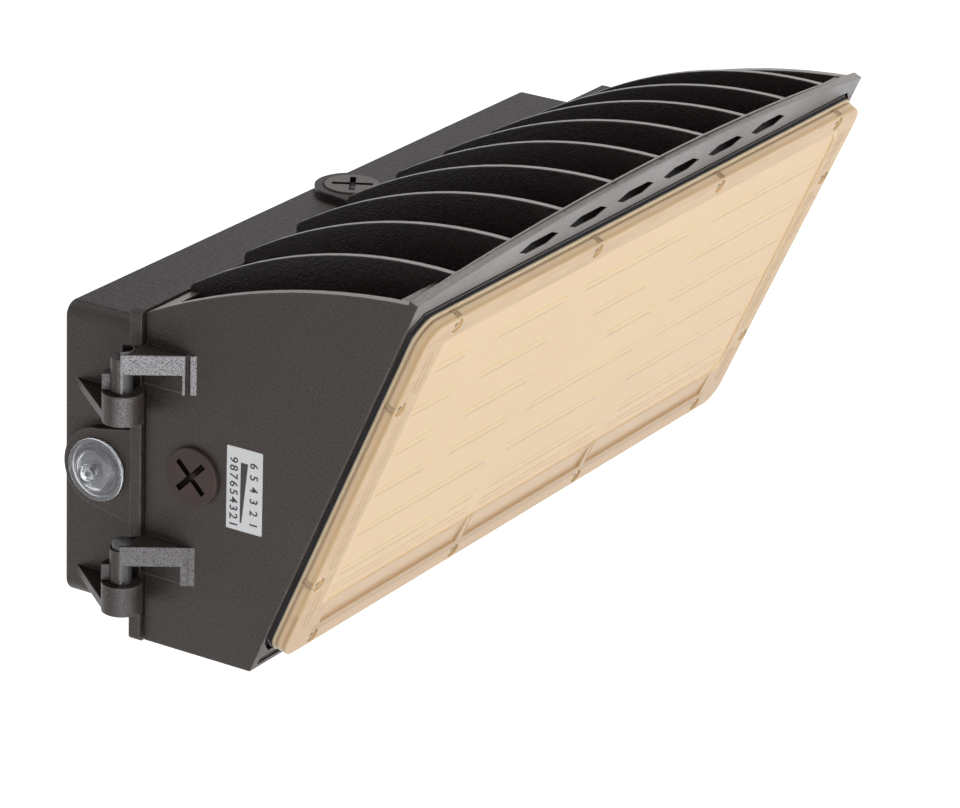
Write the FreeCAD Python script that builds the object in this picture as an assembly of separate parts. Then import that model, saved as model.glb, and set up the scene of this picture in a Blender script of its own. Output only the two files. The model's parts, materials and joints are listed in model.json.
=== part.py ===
import FreeCAD, Part
import math
import os
from FreeCAD import Placement, Rotation, Vector

# LED wall pack: a back box on the wall, and a finned front housing that
# swings on two hinges at its left end and carries the lens.
# Millimetres. X runs to the right seen from the front, -Y away from the
# wall, Z up. The origin is the middle of the face on the wall.

os.makedirs("parts", exist_ok=True)

# ---- clearances -------------------------------------------------------------
touch_gap = 0.3            # between faces that move past each other
running_gap = 0.05         # radial, between a pin and its bore
plain_gap = 0.25           # radial, between a screw and the hole it passes

# ---- back box ---------------------------------------------------------------
box_setback = 7.5          # from each end of the flange to the box
box_top = 62.5
box_bottom = -63.0
box_depth = 37.4           # wall to the back of the flange
box_wall = 3.5
box_corner = 6.0
box_back_round = 1.5
flange_lap = 2.5           # flange beyond each end of the front housing
flange_top = 70.2
flange_bottom = -71.4
flange_thickness = 5.3
flange_round = 2.0
opening_side = 8.0         # from each end of the box to its opening
opening_above = 7.5
opening_below = 7.0

# ---- holes in the back wall -------------------------------------------------
box_screw_spacing = 88.9   # screws of a round junction box
box_screw_hole = 2.6
anchor_spacing_x = 280.0
anchor_spacing_z = 80.0
anchor_hole = 3.0
wire_hole = 11.0
wire_hole_z = 26.0

# ---- seam between the flange and the front housing --------------------------
seam = 0.8
seam_groove_depth = 1.6
seam_groove_width = 4.0
seam_groove_margin = 3.0   # from the opening to the groove

# ---- front housing ----------------------------------------------------------
housing_width = 360.0
housing_bottom = -71.0
housing_back_top = 69.5
slant_foot = 94.8          # wall to the foot of the slanted front
slant_head = 168.0         # wall to the head of the slanted front
slant_head_height = 99.3
top_bow = 6.8              # rise of a cheek's top edge above its chord
cheek = 4.0
housing_wall = 4.0
valley_floor = 31.0
floor_thickness = 3.0
front_plate = 9.5
led_recess = 6.0
recess_side = 9.5          # from each end of the lens to the recess
recess_end = 9.0           # from the lens's lower and upper edges to the recess
sill_low = 2.0             # channel along the lower edge of the front
sill_high = 5.5

# ---- fins and the arched lip ------------------------------------------------
fin_count = 9
fin_end_gap = 30.8         # from each end of the housing to the middle of the last fin
fin_thickness = 3.0
lip_arch = 11.7            # extra height of the lip in the middle
lip_edge = 0.6             # lip above the head of the slant at the ends
lip_thickness = 4.0
plate_top = 181.0          # up the slant, where the thick plate ends
fin_bow = 10.0             # rise of a fin's top edge above its chord
fin_back_arch = 9.0        # extra height of the middle fins at the back
fin_corner = 3.0
lip_channel_depth = 0.9
lip_ridge = 0.8
slot_length = 29.5
slot_height = 5.6
slot_tip = 7.0
slot_rise = 2.2            # extra height of the middle slots

# ---- lens -------------------------------------------------------------------
lens_side_gap = 3.0        # from each end of the housing to the lens
lens_low = 9.1             # up the slant from its foot
lens_high = 178.8
lens_corner = 6.5
lens_back = 1.8            # thickness of the gasket that it lies on
lens_front = 8.0
lens_skin = 2.2
lens_side_margin = 16.0    # from the ends of the lens to its panel
lens_top_margin = 10.8
lens_low_margin = 24.0
lens_panel_drop = 0.6
lens_hollow_inset = 2.2
gasket_inset = 0.3
lens_relief = 1.3          # groove in the housing around the lens
lens_relief_depth = 1.6
rib_rows = 6
rib_columns = 3
rib_height = 0.5
rib_width = 3.6
rib_end = 5.0
row_first = 47.8
row_pitch = 20.8

lens_screw_shank = 1.9
lens_screw_head = 3.4
lens_screw_head_height = 2.2
lens_screw_reach = 6.0
lens_screw_seat = 5.0
lens_screw_inset = 5.2
lens_screw_end = 22.0      # from each end of the lens to its outer screws
lens_screw_inner = 50.0
lens_side_screws = (48.8, 138.5)

# ---- light engine -----------------------------------------------------------
board_gap = 4.0
board_thickness = 1.6
board_side_gap = 1.5       # from the recess to the boards
board_end_gap = 1.85
led_size = 3.0
led_height = 0.7
led_per_row = 8
led_spread = 0.92
board_screw_inset = 5.0
board_screw_shank = 1.4
board_screw_head = 2.5
board_screw_head_height = 1.1
board_screw_reach = 3.0

# ---- hinges -----------------------------------------------------------------
hinge_out = 12.0           # from the cheek to the hinge axis
hinge_y = -40.9
hinge_step = 81.3          # from the lower hinge to the upper one
knuckle_radius = 8.3
knuckle_bottom = 27.4
knuckle_top = 39.8
arm_top = 56.6
arm_plate = 3.0
arm_strip = 8.2
arm_wall = 1.1             # width of the leg beside the pin
arm_over = 1.0             # from the axis to the leg's outer edge
arm_proud = 0.3            # front face in front of the shell
arm_drop = 2.4             # from the top plate to the top of the shell
arm_strip_thickness = 2.4
arm_foot = 5.6             # width of the leg on the cheek
arm_reach = 67.5           # wall to the front corner of the arm
arm_radius = 4.95
arm_pad = 1.6
barrel_top = 46.8
arm_groove = 1.8           # upright groove in the foot of the upper arm
arm_groove_place = 2.6
arm_groove_depth = 1.2
rim_height = 1.0
rim_wall = 0.8
pin_radius = 3.9
pin_head = 4.2
pin_head_height = 2.0
gusset_low = 28.3
gusset_thickness = 3.6
gusset_back = 4.9

# ---- screw plugs ------------------------------------------------------------
plug_head = 12.2
plug_head_height = 1.6
plug_ring = 0.6
plug_stem = 10.4
plug_stem_length = 7.6
plug_bore = plug_stem + running_gap
plug_head_gap = 0.5        # round the head of the upper plug
plug_cross = 2.6
plug_cross_reach = 8.7
plug_cross_depth = 1.7
top_cross_turn = 31.0      # how the cross of each plug is turned
cheek_cross_turn = 45.0
cheek_plug_y = -66.6
cheek_plug_z = 6.1
top_plug_x = 6.5
top_plug_y = -16.6
top_boss_radius = 16.2
top_boss_height = 3.0
top_seat = 1.6             # depth of the seat in the boss

# ---- photocell --------------------------------------------------------------
cell_y = -20.4
cell_z = -2.2
cell_pad_radius = 17.0
cell_pad_height = 5.0
cell_radius = 13.2
cell_rim = 2.1
cell_step_radius = 8.8
cell_step = 4.2
cell_nose_radius = 3.9
cell_nose = 9.0
cell_skin = 1.2
cell_seal = 0.8
cell_base = 0.8
cell_stem = 7.0
cell_stem_length = 14.0
cell_nut = 10.5
cell_nut_height = 3.4

# ---- closure screws on the right --------------------------------------------
ear_reach = 11.0
ear_height = 16.0
ear_thickness = 7.0
ear_places = (-45.0, 45.0)
closure_shank = 2.4
closure_head = 4.6
closure_head_height = 3.6
closure_reach = 3.8
closure_gap = 0.5
closure_bore_depth = 7.0
closure_washer_height = 1.2

# ---- driver and selector ----------------------------------------------------
driver_length = 176.0
driver_height = 58.0
driver_x = 34.0
driver_back_gap = 6.0
driver_front_gap = 3.3     # from the slanted plate to the driver
driver_wall = 1.5
bracket_thickness = 1.5
bracket_tab = 16.0
bracket_screw = 1.9
bracket_screw_inset = 8.0
bracket_screw_head = 2.2
bracket_screw_reach = 2.8
bracket_lip = 20.0
driver_board_gap = 4.0
driver_board_thickness = 1.6
# place along the driver, radius and height, as shares of its length, depth and height
driver_parts = ((-0.40, 0.23, 0.58), (-0.285, 0.23, 0.58), (-0.18, 0.17, 0.45),
                (0.195, 0.23, 0.52), (0.305, 0.17, 0.38), (0.40, 0.17, 0.38))
lead_radius = 1.0
lead_spread = 1.3
lead_drop = 12.0           # from the top of the driver to its leads
lead_pull = 1.0            # how strongly a lead keeps its direction at its ends
lead_hole = 4.0
lead_x = -66.0
lead_up = 34.0
terminal_x = -70.0
terminal_top = -30.0
terminal_pitch = 9.0
terminal_depth = 16.0
terminal_height = 20.0
terminal_wire_y = -12.0
ground_x = 60.0
ground_z = -42.0
selector_width = 26.0
selector_height = 30.0
selector_board = 1.6
selector_post = 16.0       # from the inside of the cheek to the selector board
selector_post_radius = 3.0
selector_screw = 1.3
selector_screw_inset = 3.0
selector_screw_head_height = 1.6
selector_screw_reach = 6.0
selector_bore_depth = 8.0
switch_height = 4.5
switch_width = 7.0
switch_length = 16.0
switch_spacing = 11.0
slider_size = 2.2
slider_proud = 2.4
power_travel = 6.0
colour_travel = 4.0
label_y = -91.0
label_z = 5.9
label_width = 16.9
label_height = 35.0
label_thickness = 0.2

# ---- worked out from the driving dimensions ---------------------------------
flange_front = box_depth + flange_thickness
housing_back = flange_front + seam
slant_reach = slant_head - slant_foot
slant_rise = slant_head_height - housing_bottom
slant_length = math.hypot(slant_reach, slant_rise)
slant_angle = math.degrees(math.atan2(slant_rise, -slant_reach))
half_width = housing_width / 2.0
flange_width = housing_width + 2 * flange_lap
box_width = flange_width - 2 * box_setback
lens_width = housing_width - 2 * lens_side_gap
fin_pitch = 2 * (half_width - fin_end_gap) / (fin_count - 1)
hinge_x = -half_width - hinge_out
selector_x = -half_width + cheek + selector_post
opening_width = box_width - 2 * opening_side
opening_top = box_top - opening_above
opening_bottom = box_bottom + opening_below
recess_half = lens_width / 2.0 - recess_side
recess_low = lens_low + recess_end
recess_high = lens_high - recess_end
board_width = (2 * (recess_half - board_side_gap) - 2 * board_gap) / 3.0
board_low = recess_low + board_end_gap
board_height = recess_high - recess_low - 2 * board_end_gap
slant = Placement(Vector(0, -slant_foot, housing_bottom), Rotation(Vector(1, 0, 0), slant_angle))


# ---- small helpers ----------------------------------------------------------
def save(shape, node):
    """One STEP file for each sub-part, named like its node."""
    shape.exportStep("parts/" + node + ".step")


def block(x0, x1, y0, y1, z0, z1):
    """Box between two corners, whichever way round they are given."""
    low = Vector(min(x0, x1), min(y0, y1), min(z0, z1))
    return Part.makeBox(abs(x1 - x0), abs(y1 - y0), abs(z1 - z0), low)


def rod(radius, length, start, along):
    """Round bar from a start point along a direction."""
    return Part.makeCylinder(radius, length, Vector(*start), Vector(*along))


def prism(points, along):
    """Flat outline pushed along a vector."""
    corners = [Vector(*point) for point in points]
    return Part.Face(Part.makePolygon(corners + corners[:1])).extrude(Vector(*along))


def group(shapes):
    """Separate solids that share one node."""
    return Part.makeCompound(shapes)


def joined(first, others):
    """One solid made of a piece and what grows on it."""
    return first.multiFuse(others).removeSplitter()


def cut_all(shape, tools):
    """A piece with several openings cut in it."""
    return shape.cut(group(tools)) if len(tools) == 1 else shape.cut(tools[0].multiFuse(tools[1:]))


def on_slant(shape):
    """Moves a shape made flat (x, up the slant, outwards) onto the slanted front."""
    placed = shape.copy()
    placed.Placement = slant.multiply(placed.Placement)
    return placed


def arch(x):
    """Share of the middle rise at a place along the lip, 1 in the middle and 0 at the ends."""
    return 1.0 - (x / half_width) ** 2


def chamfered(width, low, high, corner, t0, t1):
    """Plate on the slant whose four corners are cut off."""
    w = width / 2.0
    outline = [
        (-w + corner, low, t0), (w - corner, low, t0), (w, low + corner, t0), (w, high - corner, t0),
        (w - corner, high, t0), (-w + corner, high, t0), (-w, high - corner, t0), (-w, low + corner, t0),
    ]
    return prism(outline, (0, 0, t1 - t0))


# ---- back box ---------------------------------------------------------------
def box_shell():
    """Rounded tray that stands on the wall."""
    half = box_width / 2.0
    tray = block(-half, half, 0, -box_depth, box_bottom, box_top)
    along_y = [e for e in tray.Edges if abs(e.tangentAt(e.FirstParameter).y) > 0.9]
    tray = tray.makeFillet(box_corner, along_y)
    rear = [e for e in tray.Edges if e.BoundBox.YMin > -0.01]
    return tray.makeFillet(box_back_round, rear)


def box_flange():
    """Wider rim at the front of the tray."""
    half = flange_width / 2.0
    plate = block(-half, half, -box_depth, -flange_front, flange_bottom, flange_top)
    along_y = [e for e in plate.Edges if abs(e.tangentAt(e.FirstParameter).y) > 0.9]
    return plate.makeFillet(flange_round, along_y)


def cell_pad():
    """Raised teardrop on the left side under the photocell."""
    side = -box_width / 2.0
    face = side - cell_pad_height
    round_end = rod(cell_pad_radius, cell_pad_height + box_wall, (face, cell_y, cell_z), (1, 0, 0))
    spread = 3.5
    tail = prism([
        (face, cell_y, cell_z + cell_pad_radius),
        (face, -box_depth, cell_z + cell_pad_radius + spread),
        (face, -box_depth, cell_z - cell_pad_radius - spread),
        (face, cell_y, cell_z - cell_pad_radius),
    ], (cell_pad_height + box_wall, 0, 0))
    return round_end.fuse(tail)


def top_boss():
    """Raised round ended pad on the top under the conduit plug."""
    low = box_top - box_wall
    height = top_boss_height + box_wall
    round_end = rod(top_boss_radius, height, (top_plug_x, top_plug_y, low), (0, 0, 1))
    spread = 4.0
    tail = prism([
        (top_plug_x - top_boss_radius, top_plug_y, low),
        (top_plug_x - top_boss_radius - spread, -box_depth, low),
        (top_plug_x + top_boss_radius + spread, -box_depth, low),
        (top_plug_x + top_boss_radius, top_plug_y, low),
    ], (0, 0, height))
    return round_end.fuse(tail)


def knuckle(lift):
    """Fixed half of a hinge with the gusset that ties it to the box."""
    height = knuckle_top - knuckle_bottom
    low = knuckle_bottom + lift
    barrel = rod(knuckle_radius, height, (hinge_x, hinge_y, low), (0, 0, 1))
    flange_side = -flange_width / 2.0
    web = block(hinge_x, flange_side + 1.0, -box_depth, -flange_front, low, low + height)
    side = -box_width / 2.0 + 1.0
    gusset = prism([
        (side, -gusset_back, gusset_low + lift),
        (hinge_x - knuckle_radius * 0.7, hinge_y + knuckle_radius * 0.7, gusset_low + lift),
        (hinge_x, hinge_y, gusset_low + lift),
        (side, -box_depth, gusset_low + lift),
    ], (0, 0, gusset_thickness))
    return [barrel, web, gusset]


def ear(z, back, front, side):
    """Lug at the right end that takes a closure screw."""
    x0 = side - 2.0
    x1 = side + ear_reach
    lug = block(x0, x1, -back, -front, z - ear_height / 2.0, z + ear_height / 2.0)
    corners = [e for e in lug.Edges
               if abs(e.tangentAt(e.FirstParameter).y) > 0.9 and e.BoundBox.XMin > x1 - 0.01]
    return lug.makeFillet(ear_reach * 0.4, corners)


def closure_x():
    """Axis of the closure screws, in the middle of the lugs."""
    return flange_width / 2.0 + ear_reach * 0.45


def back_box():
    half = box_width / 2.0 - box_wall
    solids = [box_flange(), cell_pad(), top_boss()]
    for lift in (0.0, -hinge_step):
        solids += knuckle(lift)
    for z in ear_places:
        solids.append(ear(z, box_depth - ear_thickness, flange_front, flange_width / 2.0))
    body = joined(box_shell(), solids)
    wall_plane = block(-box_width, box_width, 0, box_depth, -box_width, box_width)
    inside = block(-half, half, -box_wall, -box_depth + box_wall,
                   box_bottom + box_wall, box_top - box_wall)
    mouth = block(-opening_width / 2.0, opening_width / 2.0, -box_wall, -flange_front - 1,
                  opening_bottom, opening_top)
    groove_out = seam_groove_margin + seam_groove_width
    outer = block(-opening_width / 2.0 - groove_out, opening_width / 2.0 + groove_out,
                  -flange_front + seam_groove_depth, -flange_front - 1,
                  opening_bottom - groove_out, opening_top + groove_out)
    inner = block(-opening_width / 2.0 - seam_groove_margin, opening_width / 2.0 + seam_groove_margin,
                  -flange_front + seam_groove_depth, -flange_front - 1,
                  opening_bottom - seam_groove_margin, opening_top + seam_groove_margin)
    tools = [wall_plane, inside, mouth, outer.cut(inner)]
    for lift in (0.0, -hinge_step):
        start = (hinge_x, hinge_y, knuckle_bottom + lift - knuckle_radius)
        length = knuckle_top - knuckle_bottom + 2 * knuckle_radius
        tools.append(rod(pin_radius + running_gap, length, start, (0, 0, 1)))
    through = 4 * box_wall + top_boss_height
    tools.append(rod(plug_bore, through, (top_plug_x, top_plug_y, box_top - 2 * box_wall), (0, 0, 1)))
    seat = box_top + top_boss_height - top_seat
    tools.append(rod(plug_head + plug_head_gap, 2 * top_seat, (top_plug_x, top_plug_y, seat), (0, 0, 1)))
    start = (-box_width / 2.0 - 2 * cell_pad_height, cell_y, cell_z)
    tools.append(rod(cell_stem, 2 * (cell_pad_height + box_wall), start, (1, 0, 0)))
    tools.append(rod(wire_hole, 10, (0, 1, wire_hole_z), (0, -1, 0)))
    for side in (-1, 1):
        tools.append(rod(box_screw_hole, 10, (side * box_screw_spacing / 2.0, 1, 0), (0, -1, 0)))
        for lift in (-1, 1):
            start = (side * anchor_spacing_x / 2.0, 1, lift * anchor_spacing_z / 2.0)
            tools.append(rod(anchor_hole, 10, start, (0, -1, 0)))
    for z in ear_places:
        start = (closure_x(), -flange_front + closure_bore_depth, z)
        tools.append(rod(closure_shank + closure_gap, closure_bore_depth + 1, start, (0, -1, 0)))
    return cut_all(body, tools)


# ---- front housing ----------------------------------------------------------
def slant_point(up, out=0.0):
    """Distance from the wall and height of a point on the slanted front."""
    lean = slant_reach / slant_length
    climb = slant_rise / slant_length
    return -slant_foot - lean * up - climb * out, housing_bottom + climb * up - lean * out


def crown(x):
    """How far up the slant the lip reaches at a place along it."""
    return slant_length + lip_edge + lip_arch * arch(x)


def upright(x, thickness, low, front_out, top_up, back_top, bow):
    """Wall across the housing with a bowed top edge: a cheek or a fin."""
    foot_y = -slant_foot + front_out - slant_reach * (low - housing_bottom) / slant_rise
    foot = Vector(x, foot_y, low)
    head_y, head_z = slant_point(top_up, -front_out)
    head = Vector(x, head_y, head_z)
    back_low = Vector(x, -housing_back, low)
    back_high = Vector(x, -housing_back, back_top)
    chord = head.sub(back_high)
    across = Vector(0, chord.z, -chord.y).normalize()
    middle = back_high.add(chord.multiply(0.5)).add(across.multiply(bow))
    edges = [
        Part.makeLine(back_low, foot), Part.makeLine(foot, head),
        Part.Arc(head, middle, back_high).toShape(), Part.makeLine(back_high, back_low),
    ]
    return Part.Face(Part.Wire(edges)).extrude(Vector(thickness, 0, 0))


def fins():
    """Cooling fins side by side behind the lip."""
    shapes = []
    for index in range(fin_count):
        x = (index - (fin_count - 1) / 2.0) * fin_pitch
        top = crown(x) - 0.6
        back_top = housing_back_top + fin_back_arch * arch(x)
        low = valley_floor - floor_thickness / 2.0
        fin = upright(x - fin_thickness / 2.0, fin_thickness, low, 2.5, top, back_top, fin_bow)
        corner = [e for e in fin.Edges
                  if abs(e.CenterOfMass.y + housing_back) < 0.01
                  and abs(e.CenterOfMass.z - back_top) < 0.01]
        shapes.append(fin.makeFillet(fin_corner, corner))
    return shapes


def lip():
    """Arched strip above the lens, with a channel along its crown."""
    low = plate_top - 2.0
    ends = slant_length + lip_edge
    left = Vector(-half_width, ends, 0)
    right = Vector(half_width, ends, 0)
    edges = [
        Part.makeLine(Vector(-half_width, low, 0), Vector(half_width, low, 0)),
        Part.makeLine(Vector(half_width, low, 0), right),
        Part.Arc(right, Vector(0, ends + lip_arch, 0), left).toShape(),
        Part.makeLine(left, Vector(-half_width, low, 0)),
    ]
    strip = Part.Face(Part.Wire(edges)).extrude(Vector(0, 0, -lip_thickness))
    span = half_width + 1.0
    floor_end = crown(half_width)
    floor_middle = crown(0) - lip_channel_depth
    left = Vector(-span, floor_end, -lip_ridge)
    right = Vector(span, floor_end, -lip_ridge)
    high = Vector(0, 4 * lip_arch, 0)
    edges = [
        Part.Arc(right, Vector(0, floor_middle, -lip_ridge), left).toShape(),
        Part.makeLine(left, left.add(high)), Part.makeLine(left.add(high), right.add(high)),
        Part.makeLine(right.add(high), right),
    ]
    channel = Part.Face(Part.Wire(edges)).extrude(Vector(0, 0, 2 * lip_ridge - lip_thickness))
    return on_slant(strip.cut(channel))


def vent_slot(x):
    """Long six sided opening through the lip."""
    middle = slant_length + slot_rise * arch(x)
    half = slot_length / 2.0
    flat = half - slot_tip
    rise = slot_height / 2.0
    return on_slant(prism([
        (x - half, middle, 1), (x - flat, middle - rise, 1), (x + flat, middle - rise, 1),
        (x + half, middle, 1), (x + flat, middle + rise, 1), (x - flat, middle + rise, 1),
    ], (0, 0, -5 * lip_thickness)))


def plate_back(z):
    """Distance from the wall of the rear of the slanted plate at a height."""
    climb = slant_rise / slant_length
    return slant_foot + slant_reach * (z - housing_bottom) / slant_rise - front_plate / climb


def arm_frame():
    """Point of the arm's front face next to the pin and the direction along that face."""
    axis = Vector(hinge_x, hinge_y, 0)
    corner = Vector(-half_width, -arm_reach, 0)
    to_corner = corner.sub(axis)
    reach = arm_radius + arm_proud
    bearing = math.atan2(to_corner.y, to_corner.x)
    turn = math.acos(reach / to_corner.Length)
    outward = Vector(math.cos(bearing - turn), math.sin(bearing - turn), 0)
    tangent = axis.add(outward * reach)
    return tangent, corner.sub(tangent).normalize(), outward


def half_space(along, distance, low, high):
    """Big block beyond a plane that stands upright near the hinge axis."""
    size = 60.0
    side = Vector(-along.y, along.x, 0)
    start = Vector(hinge_x, hinge_y, low).add(along * distance)
    corners = [start + side * size, start - side * size]
    outline = corners + [corners[1] + along * size, corners[0] + along * size]
    return prism([tuple(p) for p in outline], (0, 0, high - low))


def hinge_arm(lift, recessed):
    """Moving half of a hinge: plate with a front wall, foot on the cheek and shell round the pin."""
    low = knuckle_top + touch_gap + lift
    high = arm_top + lift
    tangent, along, outward = arm_frame()
    axis = Vector(hinge_x, hinge_y, 0)
    side_x = -flange_width / 2.0 - 2 * touch_gap
    corner = Vector(-half_width, -arm_reach, 0)
    rear = Vector(-half_width, -housing_back, 0)
    rear_side = Vector(side_x, -housing_back, 0)
    left = tangent - along * arm_over
    left_rear = axis - along * arm_over - outward * arm_radius
    wall = outward * arm_strip_thickness
    flat = prism([(p.x, p.y, high - arm_plate) for p in (corner, left, left_rear, rear_side, rear)],
                 (0, 0, arm_plate))
    strip = prism([(p.x, p.y, high - arm_strip) for p in (corner, left, left - wall, corner - wall)],
                  (0, 0, arm_strip))
    leg_side = left + along * arm_wall
    leg = prism([(p.x, p.y, low) for p in (left, leg_side, leg_side - wall, left - wall)],
                (0, 0, high - low))
    foot_side = corner - along * arm_foot
    foot = prism([(p.x, p.y, low) for p in (corner, foot_side, foot_side - wall, corner - wall)],
                 (0, 0, high - low))
    pad = block(-half_width - arm_pad, -half_width + 1.0, -housing_back, -arm_reach + 2.0, low, high)
    shell = rod(arm_radius, high - arm_drop - low, (hinge_x, hinge_y, low), (0, 0, 1))
    shell = shell.cut(half_space(along, 0.0, low, high))
    barrel = rod(knuckle_radius, barrel_top - knuckle_top - touch_gap, (hinge_x, hinge_y, low), (0, 0, 1))
    barrel = barrel.cut(half_space(along, 0.0, low, high)).cut(half_space(outward, 0.0, low, high))
    arm = joined(flat, [strip, leg, foot, pad, shell, barrel])
    if not recessed:
        return [arm]
    rim = rod(arm_radius - 0.2, rim_height + 0.5, (hinge_x, hinge_y, high - 0.5), (0, 0, 1))
    rim = rim.cut(half_space(along * -1, arm_over, high - 0.5, high + rim_height))
    well = rod(arm_radius - rim_wall, 2 * rim_height, (hinge_x, hinge_y, high - rim_height), (0, 0, 1))
    well = well.cut(half_space(along * -1, arm_over - rim_wall, high - rim_height, high + rim_height))
    front = corner - along * arm_groove_place + outward
    back = front - along * arm_groove
    depth = outward * (1 + arm_groove_depth)
    groove = prism([(p.x, p.y, low - 1) for p in (front, back, back - depth, front - depth)],
                   (0, 0, high - low + 2))
    return [joined(arm, [rim]).cut(well).cut(groove)]


def blind_pin_top():
    """Top of the upper pin, which ends inside its arm."""
    return arm_top - arm_drop - 1.0


def selector_places():
    """Posts that hold the selector circuit behind the cheek plug."""
    reach = selector_height / 2.0 - selector_screw_inset
    inset = selector_width / 2.0 - selector_screw_inset
    return [(cheek_plug_y + side * inset, cheek_plug_z + side * reach) for side in (-1, 1)]


def front_housing():
    inner = half_width - cheek
    ends_up = slant_length + lip_edge
    body = upright(-half_width, cheek, housing_bottom, 0.0, ends_up, housing_back_top, top_bow)
    parts = [upright(inner, cheek, housing_bottom, 0.0, ends_up, housing_back_top, top_bow)]
    plate = block(-half_width, half_width, 0, plate_top, -front_plate, 0)
    below = block(-housing_width, housing_width, -2 * slant_head, 0,
                  housing_bottom - slant_foot, housing_bottom)
    parts.append(on_slant(plate).cut(below))
    parts.append(lip())
    parts += fins()
    bottom_front = slant_foot - 2.0
    parts.append(block(-inner, inner, -housing_back, -bottom_front,
                       housing_bottom, housing_bottom + housing_wall))
    floor_low = valley_floor - floor_thickness
    floor_front = plate_back(floor_low) + 3.0
    parts.append(block(-inner, inner, -housing_back, -floor_front, floor_low, valley_floor))
    parts.append(block(-inner, inner, -housing_back, -housing_back - housing_wall,
                       floor_low, housing_back_top))
    parts += hinge_arm(0.0, True) + hinge_arm(-hinge_step, False)
    for z in ear_places:
        parts.append(ear(z, housing_back, housing_back + ear_thickness, half_width))
    for y, z in selector_places():
        parts.append(rod(selector_post_radius, selector_post, (-inner, y, z), (1, 0, 0)))
    body = joined(body, parts)
    recess = block(-recess_half, recess_half, recess_low, recess_high, -led_recess, 1)
    tools = [on_slant(recess)]
    outer = chamfered(lens_width + 2 * lens_relief, lens_low - lens_relief, lens_high + lens_relief,
                      lens_corner, -lens_relief_depth, 1)
    inside = chamfered(lens_width, lens_low, lens_high, lens_corner, -lens_relief_depth, 1)
    tools.append(on_slant(outer.cut(inside)))
    sill = block(-inner, inner, sill_low, sill_high, -lip_channel_depth, 1)
    tools.append(on_slant(sill))
    for index in range(fin_count - 3):
        tools.append(vent_slot((index - (fin_count - 4) / 2.0) * fin_pitch))
    for x, up in lens_screw_places():
        hole = rod(lens_screw_shank + running_gap, lens_screw_reach, (x, up, -lens_screw_reach), (0, 0, 1))
        tools.append(on_slant(hole))
    for x, up in board_screw_places():
        start = (x, up, -led_recess - board_screw_reach)
        hole = rod(board_screw_shank + running_gap, board_screw_reach, start, (0, 0, 1))
        tools.append(on_slant(hole))
    for lift, top in ((0.0, blind_pin_top()), (-hinge_step, arm_top + 1)):
        start = (hinge_x, hinge_y, knuckle_top + lift)
        tools.append(rod(pin_radius + running_gap, top - knuckle_top, start, (0, 0, 1)))
    tools.append(rod(plug_bore, 12, (-half_width - 2, cheek_plug_y, cheek_plug_z), (1, 0, 0)))
    for z in ear_places:
        start = (closure_x(), -housing_back + 1, z)
        tools.append(rod(closure_shank + plain_gap, ear_thickness + 2, start, (0, -1, 0)))
    for y, z in selector_places():
        start = (selector_x - selector_bore_depth, y, z)
        tools.append(rod(selector_screw + running_gap, selector_bore_depth, start, (1, 0, 0)))
    for x, y in bracket_screw_places():
        start = (x, y, housing_bottom + housing_wall - bracket_screw_reach - plain_gap)
        tools.append(rod(bracket_screw + running_gap, housing_wall, start, (0, 0, 1)))
    tools.append(on_slant(rod(lead_hole, front_plate, (lead_x, lead_up, -front_plate - 1), (0, 0, 1))))
    return cut_all(body, tools)


# ---- seals, lens and screws -------------------------------------------------
def box_gasket():
    """Soft ring in the groove of the flange."""
    far = seam_groove_margin + seam_groove_width - plain_gap
    near = seam_groove_margin + plain_gap
    back = -flange_front + seam_groove_depth
    outer = block(-opening_width / 2.0 - far, opening_width / 2.0 + far, back, -housing_back,
                  opening_bottom - far, opening_top + far)
    inner = block(-opening_width / 2.0 - near, opening_width / 2.0 + near, back + 1, -housing_back - 1,
                  opening_bottom - near, opening_top + near)
    return outer.cut(inner)


def lens_screw_places():
    """Screws along the four sides of the lens."""
    side = lens_width / 2.0 - lens_screw_inset
    low = lens_low + lens_screw_inset
    high = lens_high - lens_screw_inset
    outer = lens_width / 2.0 - lens_screw_end
    places = [(x, up) for up in (low, high) for x in (-outer, -lens_screw_inner, lens_screw_inner, outer)]
    places += [(x, up) for x in (-side, side) for up in lens_side_screws]
    return places


def lens_gasket():
    """Rubber frame between the lens and the housing."""
    frame = chamfered(lens_width - 2 * gasket_inset, lens_low + gasket_inset, lens_high - gasket_inset,
                      lens_corner, 0, lens_back)
    window = block(-recess_half, recess_half, recess_low, recess_high, -1, lens_back + 1)
    tools = [window]
    for x, up in lens_screw_places():
        tools.append(rod(lens_screw_shank + plain_gap, lens_back + 2, (x, up, -1), (0, 0, 1)))
    return on_slant(cut_all(frame, tools))


def lens():
    """Moulded pan with a border that takes the screws and a ribbed panel over the diodes."""
    pan = chamfered(lens_width, lens_low, lens_high, lens_corner, lens_back, lens_front)
    left = lens_width / 2.0 - lens_side_margin
    low = lens_low + lens_low_margin
    high = lens_high - lens_top_margin
    face = lens_front - lens_panel_drop
    tools = [chamfered(2 * left, low, high, lens_corner, face, lens_front + 1)]
    inside = left - lens_hollow_inset
    tools.append(chamfered(2 * inside, low + lens_hollow_inset, high - lens_hollow_inset, lens_corner,
                           lens_back - 1, face - lens_skin))
    for x, up in lens_screw_places():
        tools.append(rod(lens_screw_shank + plain_gap, lens_front, (x, up, 0), (0, 0, 1)))
        tools.append(rod(lens_screw_head + plain_gap, lens_front, (x, up, lens_screw_seat), (0, 0, 1)))
    pan = cut_all(pan, tools)
    ribs = []
    half = board_width / 2.0 - rib_end
    for column in range(rib_columns):
        x = board_centre(column)
        for row in range(rib_rows):
            up = row_place(row)
            ribs.append(block(x - half, x + half, up - rib_width / 2.0, up + rib_width / 2.0,
                              face - 0.2, face + rib_height))
    return on_slant(joined(pan, ribs))


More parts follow.
